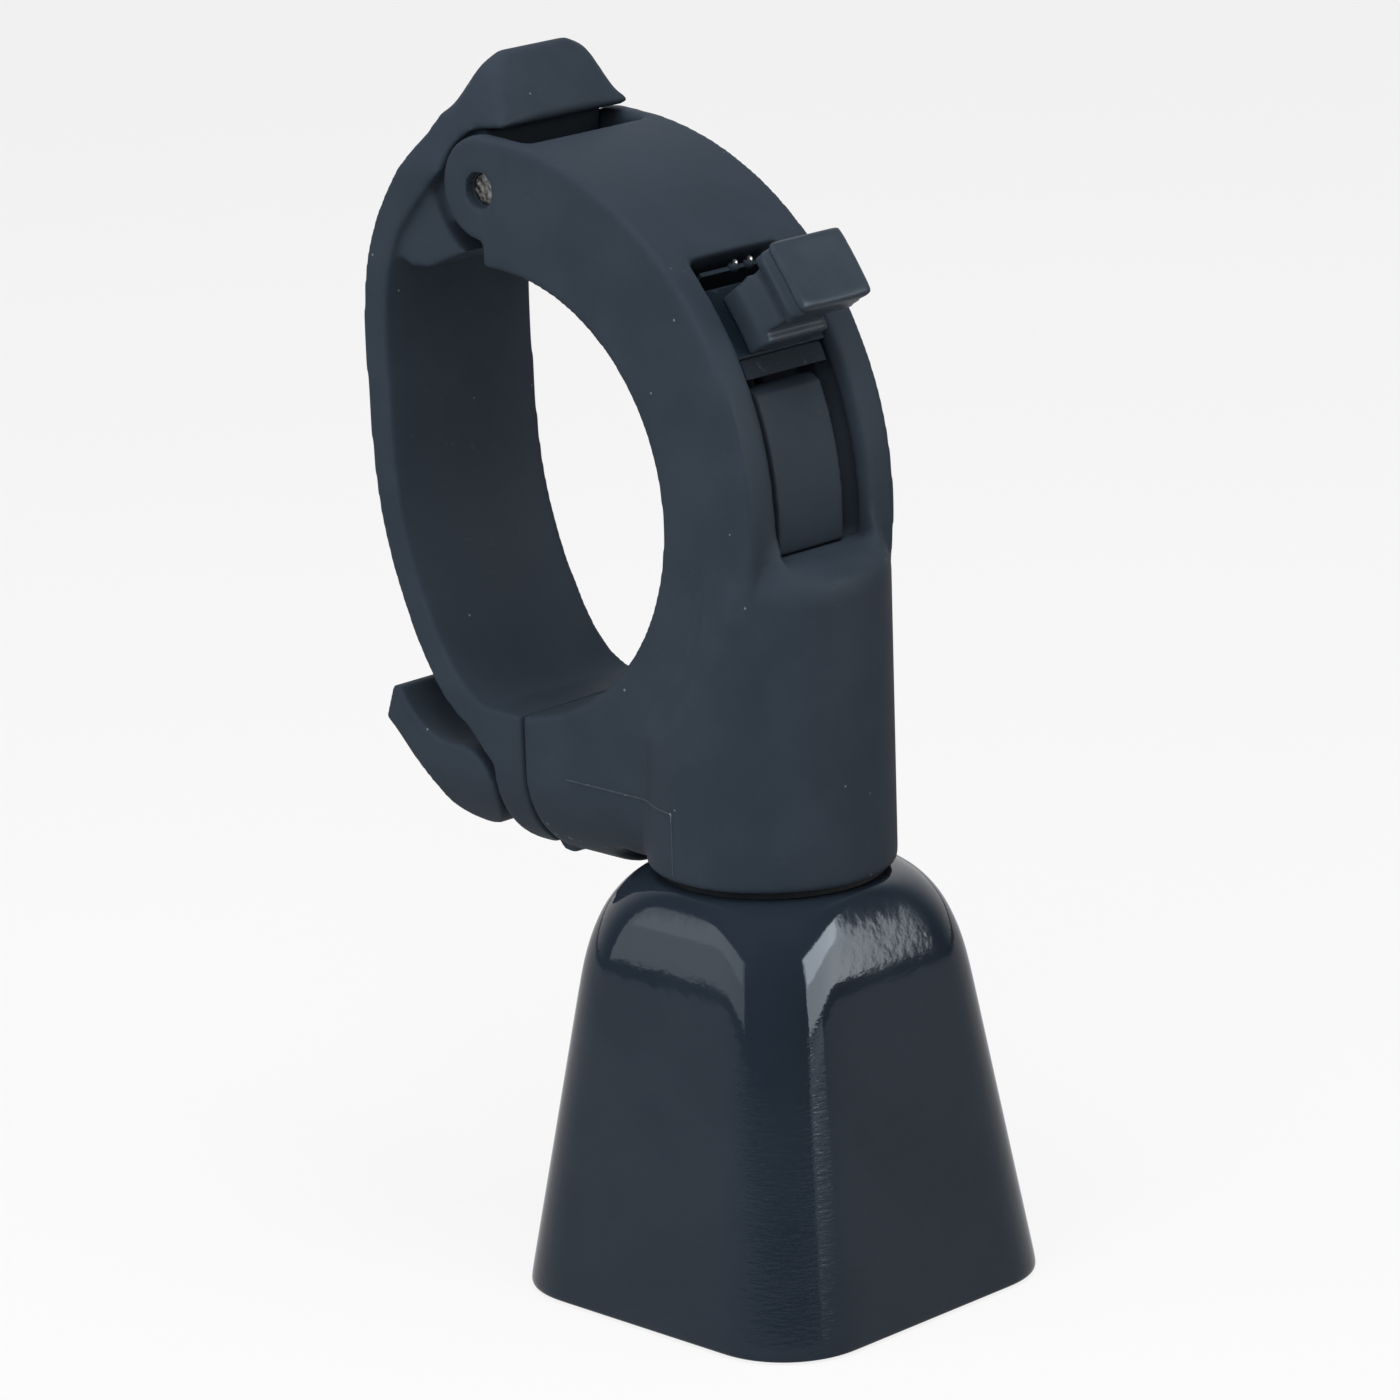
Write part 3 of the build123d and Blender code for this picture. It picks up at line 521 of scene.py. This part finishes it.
def bevelSlotEnd(bm):
    # pushes the rim at the slot's lower end in to an even slope
    skin = BVHTree.FromBMesh(bm)
    turn = math.radians(bodyShape["slotEndTurn"])
    along = Vector((math.cos(turn), 0, math.sin(turn)))
    below = Vector((along.z, 0, -along.x))
    half, bevel = bodyShape["slotHalf"], bodyShape["slotBevel"]
    for v in bm.verts:
        place = v.co / mm
        under = place.dot(below)
        if abs(place.y) > half + bodyShape["bevelPast"] or place.x < bodyShape["bevelFrom"]:
            continue
        if not -bodyShape["bevelAbove"] < under < bevel + bodyShape["bevelBelow"]:
            continue
        probe = Vector((bodyShape["probeFrom"], place.y, place.z - bodyShape["probeBelow"])) * mm
        outer = skin.ray_cast(probe, Vector((-1, 0, 0)))[0]
        inside = outer.x / mm - place.x
        width = bevel * (1 - ramp(abs(place.y), half - bodyShape["bevelFadeIn"],
                                  half + bodyShape["bevelFadeOut"]))
        short = width - inside - max(under, 0.0)
        if short > 0:
            v.co += (below - along) * short / 2 * mm


def mouldRidges(bm):
    # the fine line where the two halves of the mould met, on both sides of the flange and neck
    skin = BVHTree.FromBMesh(bm)
    start, corner, step = bodyShape["ridgeStart"], bodyShape["ridgeTurn"], bodyShape["ridgeStep"]
    height, end = bodyShape["ridgeHeight"], bodyShape["ridgeEnd"]
    route = [(start + k * step, height) for k in range(round((corner - start) / step))]
    route += [(corner, height - k * step) for k in range(int((height - end) / step) + 1)]
    line = bpy.data.curves.new("ridge", "CURVE")
    line.dimensions = "3D"
    line.bevel_depth = bodyShape["ridgeRadius"] * mm
    line.bevel_resolution = 2
    line.use_fill_caps = True
    for side in (-1, 1):
        spline = line.splines.new("POLY")
        spline.points.add(len(route) - 1)
        for point, (x, z) in zip(spline.points, route):
            probe = Vector((x, side * bodyShape["ridgeProbe"], z)) * mm
            hit = skin.ray_cast(probe, Vector((0, -side, 0)))[0]
            point.co = (*hit, 1)
    draft = newObject("ridge", line)
    mesh = finalMesh(draft)
    bpy.data.objects.remove(draft)
    addPiece("mouldRidges", mesh, "mouldLine", "clamp_body", replacing=False)


def clampBodyMoulding():
    bm = remeshedCopy("clamp_body", bodyShape["voxel"])
    pin, hinge = middleOf("latch_pin"), middleOf("hinge_pin")
    low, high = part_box("latch_pin")
    mouth = (high.x - low.x) / 2 / mm + bodyShape["pinMouth"]

    def offPin(place):
        return math.hypot(place.x - pin.x, place.z - pin.z) > mouth + bodyShape["pinClear"]

    def plainEdge(place):
        fromHinge = math.hypot(place.x - hinge.x, place.z - hinge.z)
        nearHinge = abs(place.y) < bodyShape["hingeHalf"] and fromHinge < bodyShape["hingeReach"]
        inSlot = (abs(place.y) < bodyShape["recessHalf"] and place.x > bodyShape["recessFrom"]
                  and polarOf(place)[0] < bodyShape["recessReach"] and place.z > bodyShape["recessLow"])
        return offPin(place) and not (nearHinge or inSlot)

    def slotRim(place):
        reach, turn = polarOf(place)
        atSide = bodyShape["rimInner"] < abs(place.y) < bodyShape["rimOuter"]
        return (atSide and reach > bodyShape["rimReach"]
                and bodyShape["slotEndTurn"] < turn < bodyShape["rimEndTurn"])

    def slotEnd(place):
        return (abs(place.y) < bodyShape["endHalf"] and place.x > bodyShape["rimReach"]
                and bodyShape["endLow"] < place.z < bodyShape["endHigh"])

    bevelSlotEnd(bm)
    smoothWhere(bm, bodyShape["fineSmooth"], offPin)
    smoothWhere(bm, bodyShape["edgeSmooth"], plainEdge)
    smoothWhere(bm, bodyShape["rimSmooth"], slotRim)
    smoothWhere(bm, bodyShape["endSmooth"], slotEnd)
    mouldRidges(bm)
    tool = bmesh.new()
    for side in (-1, 1):
        outside = side * (high.y / mm + bodyShape["pinMouthDepth"])
        depth = 2 * bodyShape["pinMouthDepth"]
        turn = Matrix.Translation(Vector((pin.x, outside, pin.z)) * mm) @ Matrix.Rotation(math.pi / 2, 4, "X")
        bmesh.ops.create_cone(tool, cap_ends=True, segments=bodyShape["pinMouthSides"],
                              radius1=mouth * mm, radius2=mouth * mm, depth=depth * mm, matrix=turn)
    bm = cutAway(bm, tool)
    for edge in bm.edges:
        if not offPin(edge.verts[0].co / mm):
            edge.smooth = edge.calc_face_angle(0) < bodyShape["crispAngle"]
    addPiece("clampBodyMoulding", meshFrom(bm, "clampBodyMoulding"), "moulded", "clamp_body")


clampBodyMoulding()
print("clamp body done")

# the latch pin
pinShape = {
    "voxel": 0.1,
    # the blasted end: how far in it reaches, how rough it is, how far it sinks, and its two grains
    "faceDepth": 0.2, "faceRough": 0.09, "faceDrop": 0.6, "grainMm": 0.42, "fineTimes": 2.3, "fineShare": 0.5,
}


def blastedPin():
    bm = remeshedCopy("latch_pin", pinShape["voxel"])
    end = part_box("latch_pin")[1].y / mm
    for v in bm.verts:
        place = v.co / mm
        if abs(place.y) > end - pinShape["faceDepth"]:
            grain = place / pinShape["grainMm"]
            height = noise.noise(grain) + pinShape["fineShare"] * noise.noise(grain * pinShape["fineTimes"])
            v.co.y -= math.copysign(pinShape["faceRough"] * (pinShape["faceDrop"] + height), place.y) * mm
    addPiece("blastedPin", meshFrom(bm, "blastedPin"), "blasted", "latch_pin")


blastedPin()
print("latch pin done")

# the swinging arm
armShape = {
    "voxel": 0.24, "fineSmooth": 2, "edgeSmooth": 4, "tabSmooth": 110, "strapSmooth": 5,
    # places that stay crisp: the tongue round the latch pin, and the hinge
    "tongueHalf": 6.3, "tongueFrom": -6.0, "tongueReach": 5.0, "hingeTop": -24.5, "hingeFrom": -1.0,
    # the thumb tab's sides, and the strap
    "tabHalf": 3.6, "tabAboveEars": 1.1, "tabFrom": -7.5,
    "strapFrom": -8.2, "gussetFrom": -6.0, "gussetBelowEars": 6.0,
}


def swingArmMoulding():
    bm = remeshedCopy("clamp_arm", armShape["voxel"])
    pin = middleOf("latch_pin")
    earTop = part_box("clamp_body")[1].z / mm

    def plainEdge(place):
        fromPin = math.hypot(place.x - pin.x, place.z - pin.z)
        inTongue = (abs(place.y) < armShape["tongueHalf"] and place.x > armShape["tongueFrom"]
                    and fromPin < armShape["tongueReach"])
        atHinge = place.z < armShape["hingeTop"] and place.x > armShape["hingeFrom"]
        return not (inTongue or atHinge)

    def tabSide(place):
        return (abs(place.y) > armShape["tabHalf"] and place.z > earTop + armShape["tabAboveEars"]
                and place.x > armShape["tabFrom"])

    def strap(place):
        inGusset = place.z > earTop - armShape["gussetBelowEars"] and place.x < armShape["gussetFrom"]
        return place.x < armShape["strapFrom"] or inGusset

    smoothWhere(bm, armShape["tabSmooth"], tabSide)
    smoothWhere(bm, armShape["strapSmooth"], strap)
    smoothWhere(bm, armShape["fineSmooth"])
    smoothWhere(bm, armShape["edgeSmooth"], plainEdge)
    addPiece("swingArmMoulding", meshFrom(bm, "swingArmMoulding"), "moulded", "clamp_arm")


swingArmMoulding()
print("swinging arm done")

# the cam lever
camShape = {"voxel": 0.17, "smooth": 5}


def camLeverMoulding():
    bm = remeshedCopy("cam_lever", camShape["voxel"])
    smoothWhere(bm, camShape["smooth"])
    addPiece("camLeverMoulding", meshFrom(bm, "camLeverMoulding"), "moulded", "cam_lever")


camLeverMoulding()
print("cam lever done")

# the clapper switch
switchShape = {
    "voxel": 0.14, "knobSmooth": 6, "headSmooth": 70, "sliderSmooth": 4,
    # the knob: its head, hollow face, groove and waist
    "knobTurn": 36.0, "knobSpan": 5.0, "headLow": 31.6, "dishFrom": 33.6, "dishDepth": 0.35,
    "grooveAt": 32.95, "grooveWidth": 0.32, "grooveDepth": 0.55,
    "waistAt": 30.2, "waistWidth": 1.5, "waistDepth": 0.9, "sideFrom": 2.4, "sideFull": 3.2,
    # the dark sheet of painted shade at the runner's lower end, the spring's tips and the strip's sunk upper
    # end
    "apronLow": 26.2, "apronHigh": 30.0, "apronReach": 25.78, "apronThick": 0.3, "apronHalf": 4.3,
    "apronSteps": 12,
    "tipRadius": 0.3, "tipReach": 26.32, "tipTurn": 46.2, "tipSteps": (0.0, 1.6, 3.2),
    "ledgeReach": 23.5, "ledgeTurn": 23.4, "ledgeSpan": 2.1, "ledgeDrop": 0.7,
}


def hollowAt(reach, kind):
    # how far the groove or the waist draws the knob's sides in, at a distance from the bar's axis
    away = (reach - switchShape[kind + "At"]) / switchShape[kind + "Width"]
    return switchShape[kind + "Depth"] * math.exp(-away ** 2)


def switchKnob():
    bm = remeshedCopy("switch_lever", switchShape["voxel"])
    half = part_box("switch_lever")[1].y / mm
    smoothWhere(bm, switchShape["headSmooth"], lambda place: polarOf(place)[0] > switchShape["headLow"])
    for v in bm.verts:
        place = v.co / mm
        reach, turn = polarOf(place)
        away = Vector((place.x, 0, place.z)).normalized()
        across = (turn - switchShape["knobTurn"]) / switchShape["knobSpan"]
        if reach > switchShape["dishFrom"]:
            dish = max(0.0, 1 - across * across) * max(0.0, 1 - (place.y / half) ** 2)
            v.co -= away * switchShape["dishDepth"] * dish * mm
        if abs(place.y) > switchShape["sideFrom"]:
            drawn = math.copysign(hollowAt(reach, "groove") + hollowAt(reach, "waist"), place.y)
            v.co.y -= drawn * ramp(abs(place.y), switchShape["sideFrom"], switchShape["sideFull"]) * mm
    smoothWhere(bm, switchShape["knobSmooth"])
    addPiece("switchKnob", meshFrom(bm, "switchKnob"), "handled", "switch_lever")


def switchRunner():
    bm = remeshedCopy("switch_slider", switchShape["voxel"])
    smoothWhere(bm, switchShape["sliderSmooth"])
    addPiece("switchRunner", meshFrom(bm, "switchRunner"), "runner", "switch_slider")


def slotFloorStrip():
    # the strip on the slot's floor, sinking towards its upper end
    bm = remeshedCopy("slide_track", switchShape["voxel"])
    for v in bm.verts:
        reach, turn = polarOf(v.co / mm)
        away = Vector((v.co.x, 0, v.co.z)).normalized()
        past = turn - switchShape["ledgeTurn"]
        if reach > switchShape["ledgeReach"] and past > 0:
            v.co -= away * switchShape["ledgeDrop"] * past / switchShape["ledgeSpan"] * mm
    smoothWhere(bm, switchShape["sliderSmooth"])
    addPiece("slotFloorStrip", meshFrom(bm, "slotFloorStrip"), "moulded", "slide_track")


def springTips():
    # the bright rounded tips of the detent spring
    bm = bmesh.new()
    turn = math.radians(switchShape["tipTurn"])
    for step in switchShape["tipSteps"]:
        place = Vector((math.cos(turn), 0, math.sin(turn))) * switchShape["tipReach"]
        place.y = step
        bmesh.ops.create_icosphere(bm, subdivisions=3, radius=switchShape["tipRadius"] * mm,
                                   matrix=Matrix.Translation(place * mm))
    addPiece("springTips", meshFrom(bm, "springTips"), "steel", "detent_spring", replacing=False)


def runnerShadeSheet():
    # a thin dark sheet at the runner's lower end, down to the strip, in the runner's painted shade: it fills
    # the gap below the knob where the slot lies in shade
    bm = bmesh.new()
    reach, thick, half = switchShape["apronReach"], switchShape["apronThick"], switchShape["apronHalf"]
    start, end = math.radians(switchShape["apronLow"]), math.radians(switchShape["apronHigh"])
    place = Matrix.Rotation(-start, 4, "Y") @ Matrix.Translation(Vector((reach + thick / 2, 0, 0)) * mm)
    bmesh.ops.create_grid(bm, x_segments=1, y_segments=1, size=0.5 * mm,
                          matrix=place @ Matrix.Diagonal((thick, 2 * half, 1, 1)))
    bmesh.ops.spin(bm, geom=bm.faces[:] + bm.edges[:] + bm.verts[:], cent=(0, 0, 0), axis=(0, -1, 0),
                   angle=end - start, steps=switchShape["apronSteps"])
    bmesh.ops.recalc_face_normals(bm, faces=bm.faces)
    piece = addPiece("runnerShadeSheet", meshFrom(bm, "runnerShadeSheet"), "runner", "switch_slider",
                     replacing=False)
    for polygon in piece.data.polygons:
        polygon.use_smooth = False


switchKnob()
switchRunner()
slotFloorStrip()
runnerShadeSheet()
springTips()
print("switch done")

# the bell
bellShape = {
    "sides": 128,
    "wall": 1.2,
    "rimRound": 0.3,
    "rimSteps": 2,
    "rimAngle": 50.0,
    "boltShare": 2 / 3,  # the hollow bolt's shank, as a share of its head
    # depth under the crown, half width, corner radius as a share of the half width
    "stations": [
        (0.0, 8.4, 1.0), (0.05, 9.0, 0.99), (0.35, 9.5, 0.85), (0.9, 9.85, 0.68), (1.7, 10.34, 0.607),
        (2.7, 10.8, 0.54), (3.9, 11.22, 0.505), (5.4, 11.64, 0.477), (7.2, 12.03, 0.462),
    ],
    "lowerSteps": 12,
    "slope": 0.1525,
    "mouthShare": 0.44,
}


def roundedSquareReach(angle, half, share):
    # distance from the middle to the skin of a rounded square
    c, s = sorted((abs(math.cos(angle)), abs(math.sin(angle))), reverse=True)
    corner = half * share
    centre = half - corner
    if half * s / c <= centre:
        return half / c
    return centre * (c + s) + math.sqrt(max(0.0, (centre * (c + s)) ** 2 - 2 * centre ** 2 + corner ** 2))


def bellSkin():
    low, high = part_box("bell_shell")
    middle = (low + high) / 2 / mm
    top, bottom, mouthHalf = high.z / mm, low.z / mm, (high.x - low.x) / 2 / mm
    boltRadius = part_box("hollow_bolt")[1].y / mm * bellShape["boltShare"]
    stations = [(top, boltRadius, 1.0)]
    stations += [(top - depth, half, share) for depth, half, share in bellShape["stations"]]
    lastZ, lastShare = stations[-1][0], stations[-1][2]
    steps = bellShape["lowerSteps"]
    for k in range(1, steps + 1):
        z = lastZ + (bottom - lastZ) * k / steps
        half = mouthHalf - bellShape["slope"] * (z - bottom)
        stations.append((z, half, lastShare + (bellShape["mouthShare"] - lastShare) * k / steps))
    bm = bmesh.new()
    bmesh.ops.create_circle(bm, segments=bellShape["sides"], radius=mm,
                            matrix=Matrix.Translation(middle * mm))
    edges = list(bm.edges)
    for index, (z, half, share) in enumerate(stations):
        if index:
            grown = bmesh.ops.extrude_edge_only(bm, edges=edges)["geom"]
            edges = [g for g in grown if isinstance(g, bmesh.types.BMEdge)]
        for v in {v for e in edges for v in e.verts}:
            angle = math.atan2(v.co.y - middle.y * mm, v.co.x - middle.x * mm)
            reach = roundedSquareReach(angle, half, share)
            v.co = Vector((middle.x + reach * math.cos(angle), middle.y + reach * math.sin(angle), z)) * mm
    bmesh.ops.recalc_face_normals(bm, faces=bm.faces)
    if sum(f.normal.z for f in bm.faces) < 0:
        bmesh.ops.reverse_faces(bm, faces=bm.faces)
    piece = addPiece("bellSkin", meshFrom(bm, "bellSkin"), "enamel", "bell_shell")
    wall = piece.modifiers.new("wall", "SOLIDIFY")
    wall.thickness = bellShape["wall"] * mm
    wall.offset = -1
    wall.use_even_offset = True
    rim = piece.modifiers.new("rim", "BEVEL")
    rim.width = bellShape["rimRound"] * mm
    rim.segments = bellShape["rimSteps"]
    rim.limit_method = "ANGLE"
    rim.angle_limit = math.radians(bellShape["rimAngle"])
    smooth = piece.modifiers.new("smooth", "SUBSURF")
    smooth.levels = smooth.render_levels = 1


bellSkin()
print("bell done")


# the clapper's wire, split just above the bead it swings from
wireShape = {"strands": 6, "strandRadius": 0.133, "strandSides": 10, "pitch": 5.0, "step": 0.35, "gap": 0.4}


def strandedWire(name, top, bottom):
    # outer strands wound round a core, from one height to another
    low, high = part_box("clapper_wire")
    middle = (low + high) / 2
    steps = int((top - bottom) / mm / wireShape["step"])
    fall = (bottom - top) / steps
    turn = 2 * math.pi * (top - bottom) / mm / wireShape["pitch"]
    radius = wireShape["strandRadius"] * mm
    bm = bmesh.new()
    for k in range(wireShape["strands"] + 1):
        around = 2 * math.pi * k / wireShape["strands"]
        out = 2 * radius if k < wireShape["strands"] else 0
        away = Vector((math.cos(around), math.sin(around), 0)) * out
        place = Matrix.Translation(Vector((middle.x, middle.y, top)) + away)
        made = bmesh.ops.create_circle(bm, cap_ends=True, segments=wireShape["strandSides"], radius=radius,
                                       matrix=place)["verts"]
        faces = {f for v in made for f in v.link_faces}
        edges = {e for v in made for e in v.link_edges}
        bmesh.ops.spin(bm, geom=list(faces) + list(edges) + made, cent=(middle.x, middle.y, top),
                       axis=(0, 0, 1), dvec=(0, 0, fall), angle=turn, steps=steps)
    bmesh.ops.recalc_face_normals(bm, faces=bm.faces)
    wire = newObject(name, meshFrom(bm, name))
    paintSmooth(wire.data, "wire")
    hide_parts("clapper_wire")
    return wire


def clapperWire():
    low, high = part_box("clapper_wire")
    bead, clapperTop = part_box("swivel_bead")[1].z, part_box("clapper")[1].z
    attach(strandedWire("wireInBolt", high.z, bead + wireShape["gap"] * mm), bodyOfNode["hollow_bolt"])
    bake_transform(strandedWire("wireOnClapper", bead, low.z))


clapperWire()
print("clapper wire done")

# nodes that keep their own shape; the pull cable takes the runner's painted shade
keptFinish = {
    "hinge_pin": "steel", "cam_pin": "steel", "draw_bolt": "steel",
    # painted shade: the detent spring's dark finish stands in for the shade in the slot's upper end
    "detent_spring": "springPaintedShade", "pull_cable": "runner", "cable_ball": "steel", "crown_washer": "rubber",
    "inner_washer": "steel", "hollow_bolt": "steel", "mute_pad": "rubber", "swivel_bead": "nylon",
    "clapper": "brass", "clapper_ferrule": "steel",
}
for nodeName, finishName in keptFinish.items():
    kept = nodes[nodeName]
    kept.data.materials.clear()
    kept.data.materials.append(finishes[finishName])
print("small parts finished:", len(keptFinish))

# floor, background and lamps
studio = {
    "floorSize": 6.0,
    "floorColour": 0.65,
    "floorGlow": 0.84,
    "floorMirror": 0.62,
    "floorMirrorNear": 0.6,
    "floorMirrorFar": 0.9,
    "worldLevel": 0.1,
    "mirrorLow": 0.08,
    "backdropSide": (-0.70, 0.71, 0.0),
    "backdropEdge": (0.1, 0.8),
    "floorDrop": 0.02,
    "aim": (20.0, 0.0, -32.0),
    "distance": 500.0,
    "lamps": [
        # name, turn round and height in degrees, width and height in mm, radiance, what it lights
        ("boxLeft", -118, 14, 350, 231, 1.9, "both"),
        ("boxLeftHigh", -118, 20, 290, 120, 1.0, "both"),
        ("boxRight", 21, 18, 430, 306, 7.0, "gloss"),
        ("boxRightHigh", 21, 25, 380, 160, 6.0, "gloss"),
        ("boxRightLow", 8, -2.5, 240, 40, 1.7, "gloss"),
        ("fillLeft", -110, 40, 400, 400, 0.9, "diffuse"),
        ("fillFront", -65, 35, 400, 400, 2.2, "diffuse"),
        ("fillTop", -20, 76, 400, 400, 4.9, "diffuse"),
    ],
}


def makeStage():
    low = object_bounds()[0]
    bm = bmesh.new()
    bmesh.ops.create_grid(bm, x_segments=1, y_segments=1, size=studio["floorSize"] / 2)
    floor = newObject("studioFloor", meshFrom(bm, "studioFloor"))
    floor.location.z = low.z - studio["floorDrop"] * mm
    material, tree, shader, where = newMaterial("paleFloor", Roughness=0.9)
    shader.inputs["Base Color"].default_value = (*[studio["floorColour"]] * 3, 1)
    glow = addNode(tree, "ShaderNodeEmission", Strength=1.0)
    path = addNode(tree, "ShaderNodeLightPath")
    seen = mathNode(tree, "MAXIMUM", path.outputs["Is Camera Ray"], path.outputs["Is Transmission Ray"])
    seen = mathNode(tree, "MULTIPLY", seen, studio["floorGlow"])
    mix = addNode(tree, "ShaderNodeMixShader")
    tree.links.new(seen, mix.inputs["Fac"])
    tree.links.new(shader.outputs["BSDF"], mix.inputs[1])
    tree.links.new(glow.outputs["Emission"], mix.inputs[2])
    # what the gloss shows of the floor: pale near the object, dim further off
    reach = addNode(tree, "ShaderNodeVectorMath", {"operation": "LENGTH"})
    tree.links.new(where, reach.inputs[0])
    level = rampNode(tree, reach.outputs["Value"], studio["floorMirrorNear"], studio["floorMirrorFar"],
                     studio["floorMirror"], studio["mirrorLow"])
    mirrored = addNode(tree, "ShaderNodeEmission")
    tree.links.new(level, mirrored.inputs["Strength"])
    both = addNode(tree, "ShaderNodeMixShader")
    tree.links.new(path.outputs["Is Glossy Ray"], both.inputs["Fac"])
    tree.links.new(mix.outputs["Shader"], both.inputs[1])
    tree.links.new(mirrored.outputs["Emission"], both.inputs[2])
    output = next(n for n in tree.nodes if n.type == "OUTPUT_MATERIAL")
    tree.links.new(both.outputs["Shader"], output.inputs["Surface"])
    floor.data.materials.append(material)


def makeWorld():
    world = bpy.data.worlds.new("studioWorld")
    bpy.context.scene.world = world
    world.use_nodes = True
    tree = world.node_tree
    tree.nodes.clear()
    background = addNode(tree, "ShaderNodeBackground", Color=(1, 1, 1, 1))
    path = addNode(tree, "ShaderNodeLightPath")
    where = addNode(tree, "ShaderNodeTexCoord")
    toward = addNode(tree, "ShaderNodeVectorMath", {"operation": "DOT_PRODUCT"})
    toward.inputs[1].default_value = studio["backdropSide"]
    tree.links.new(where.outputs["Generated"], toward.inputs[0])
    mirrored = rampNode(tree, toward.outputs["Value"], *studio["backdropEdge"], studio["mirrorLow"], 1.0)
    plain = mathNode(tree, "MAXIMUM", path.outputs["Is Camera Ray"], path.outputs["Is Transmission Ray"])
    shown = mathNode(tree, "MULTIPLY", mirrored, path.outputs["Is Glossy Ray"])
    dull = mathNode(tree, "MULTIPLY", path.outputs["Is Diffuse Ray"], studio["worldLevel"])
    level = mathNode(tree, "MAXIMUM", mathNode(tree, "MAXIMUM", plain, shown), dull)
    tree.links.new(level, background.inputs["Strength"])
    output = addNode(tree, "ShaderNodeOutputWorld")
    tree.links.new(background.outputs["Background"], output.inputs["Surface"])


def makeLamps():
    aim = Vector(studio["aim"])
    for name, turn, rise, width, height, radiance, lights in studio["lamps"]:
        turn, rise = math.radians(turn), math.radians(rise)
        level = math.cos(rise)
        away = Vector((level * math.cos(turn), level * math.sin(turn), math.sin(rise)))
        lamp = bpy.data.lights.new(name, "AREA")
        lamp.shape = "RECTANGLE"
        lamp.size, lamp.size_y = width * mm, height * mm
        lamp.energy = radiance * math.pi * lamp.size * lamp.size_y
        holder = newObject(name, lamp)
        holder.location = (aim + away * studio["distance"]) * mm
        holder.rotation_mode = "QUATERNION"
        holder.rotation_quaternion = away.to_track_quat("Z", "Y")
        holder.visible_glossy = lights != "diffuse"
        holder.visible_diffuse = lights != "gloss"


makeStage()
makeWorld()
makeLamps()
bpy.context.scene.view_settings.view_transform = "Standard"
print("studio ready")
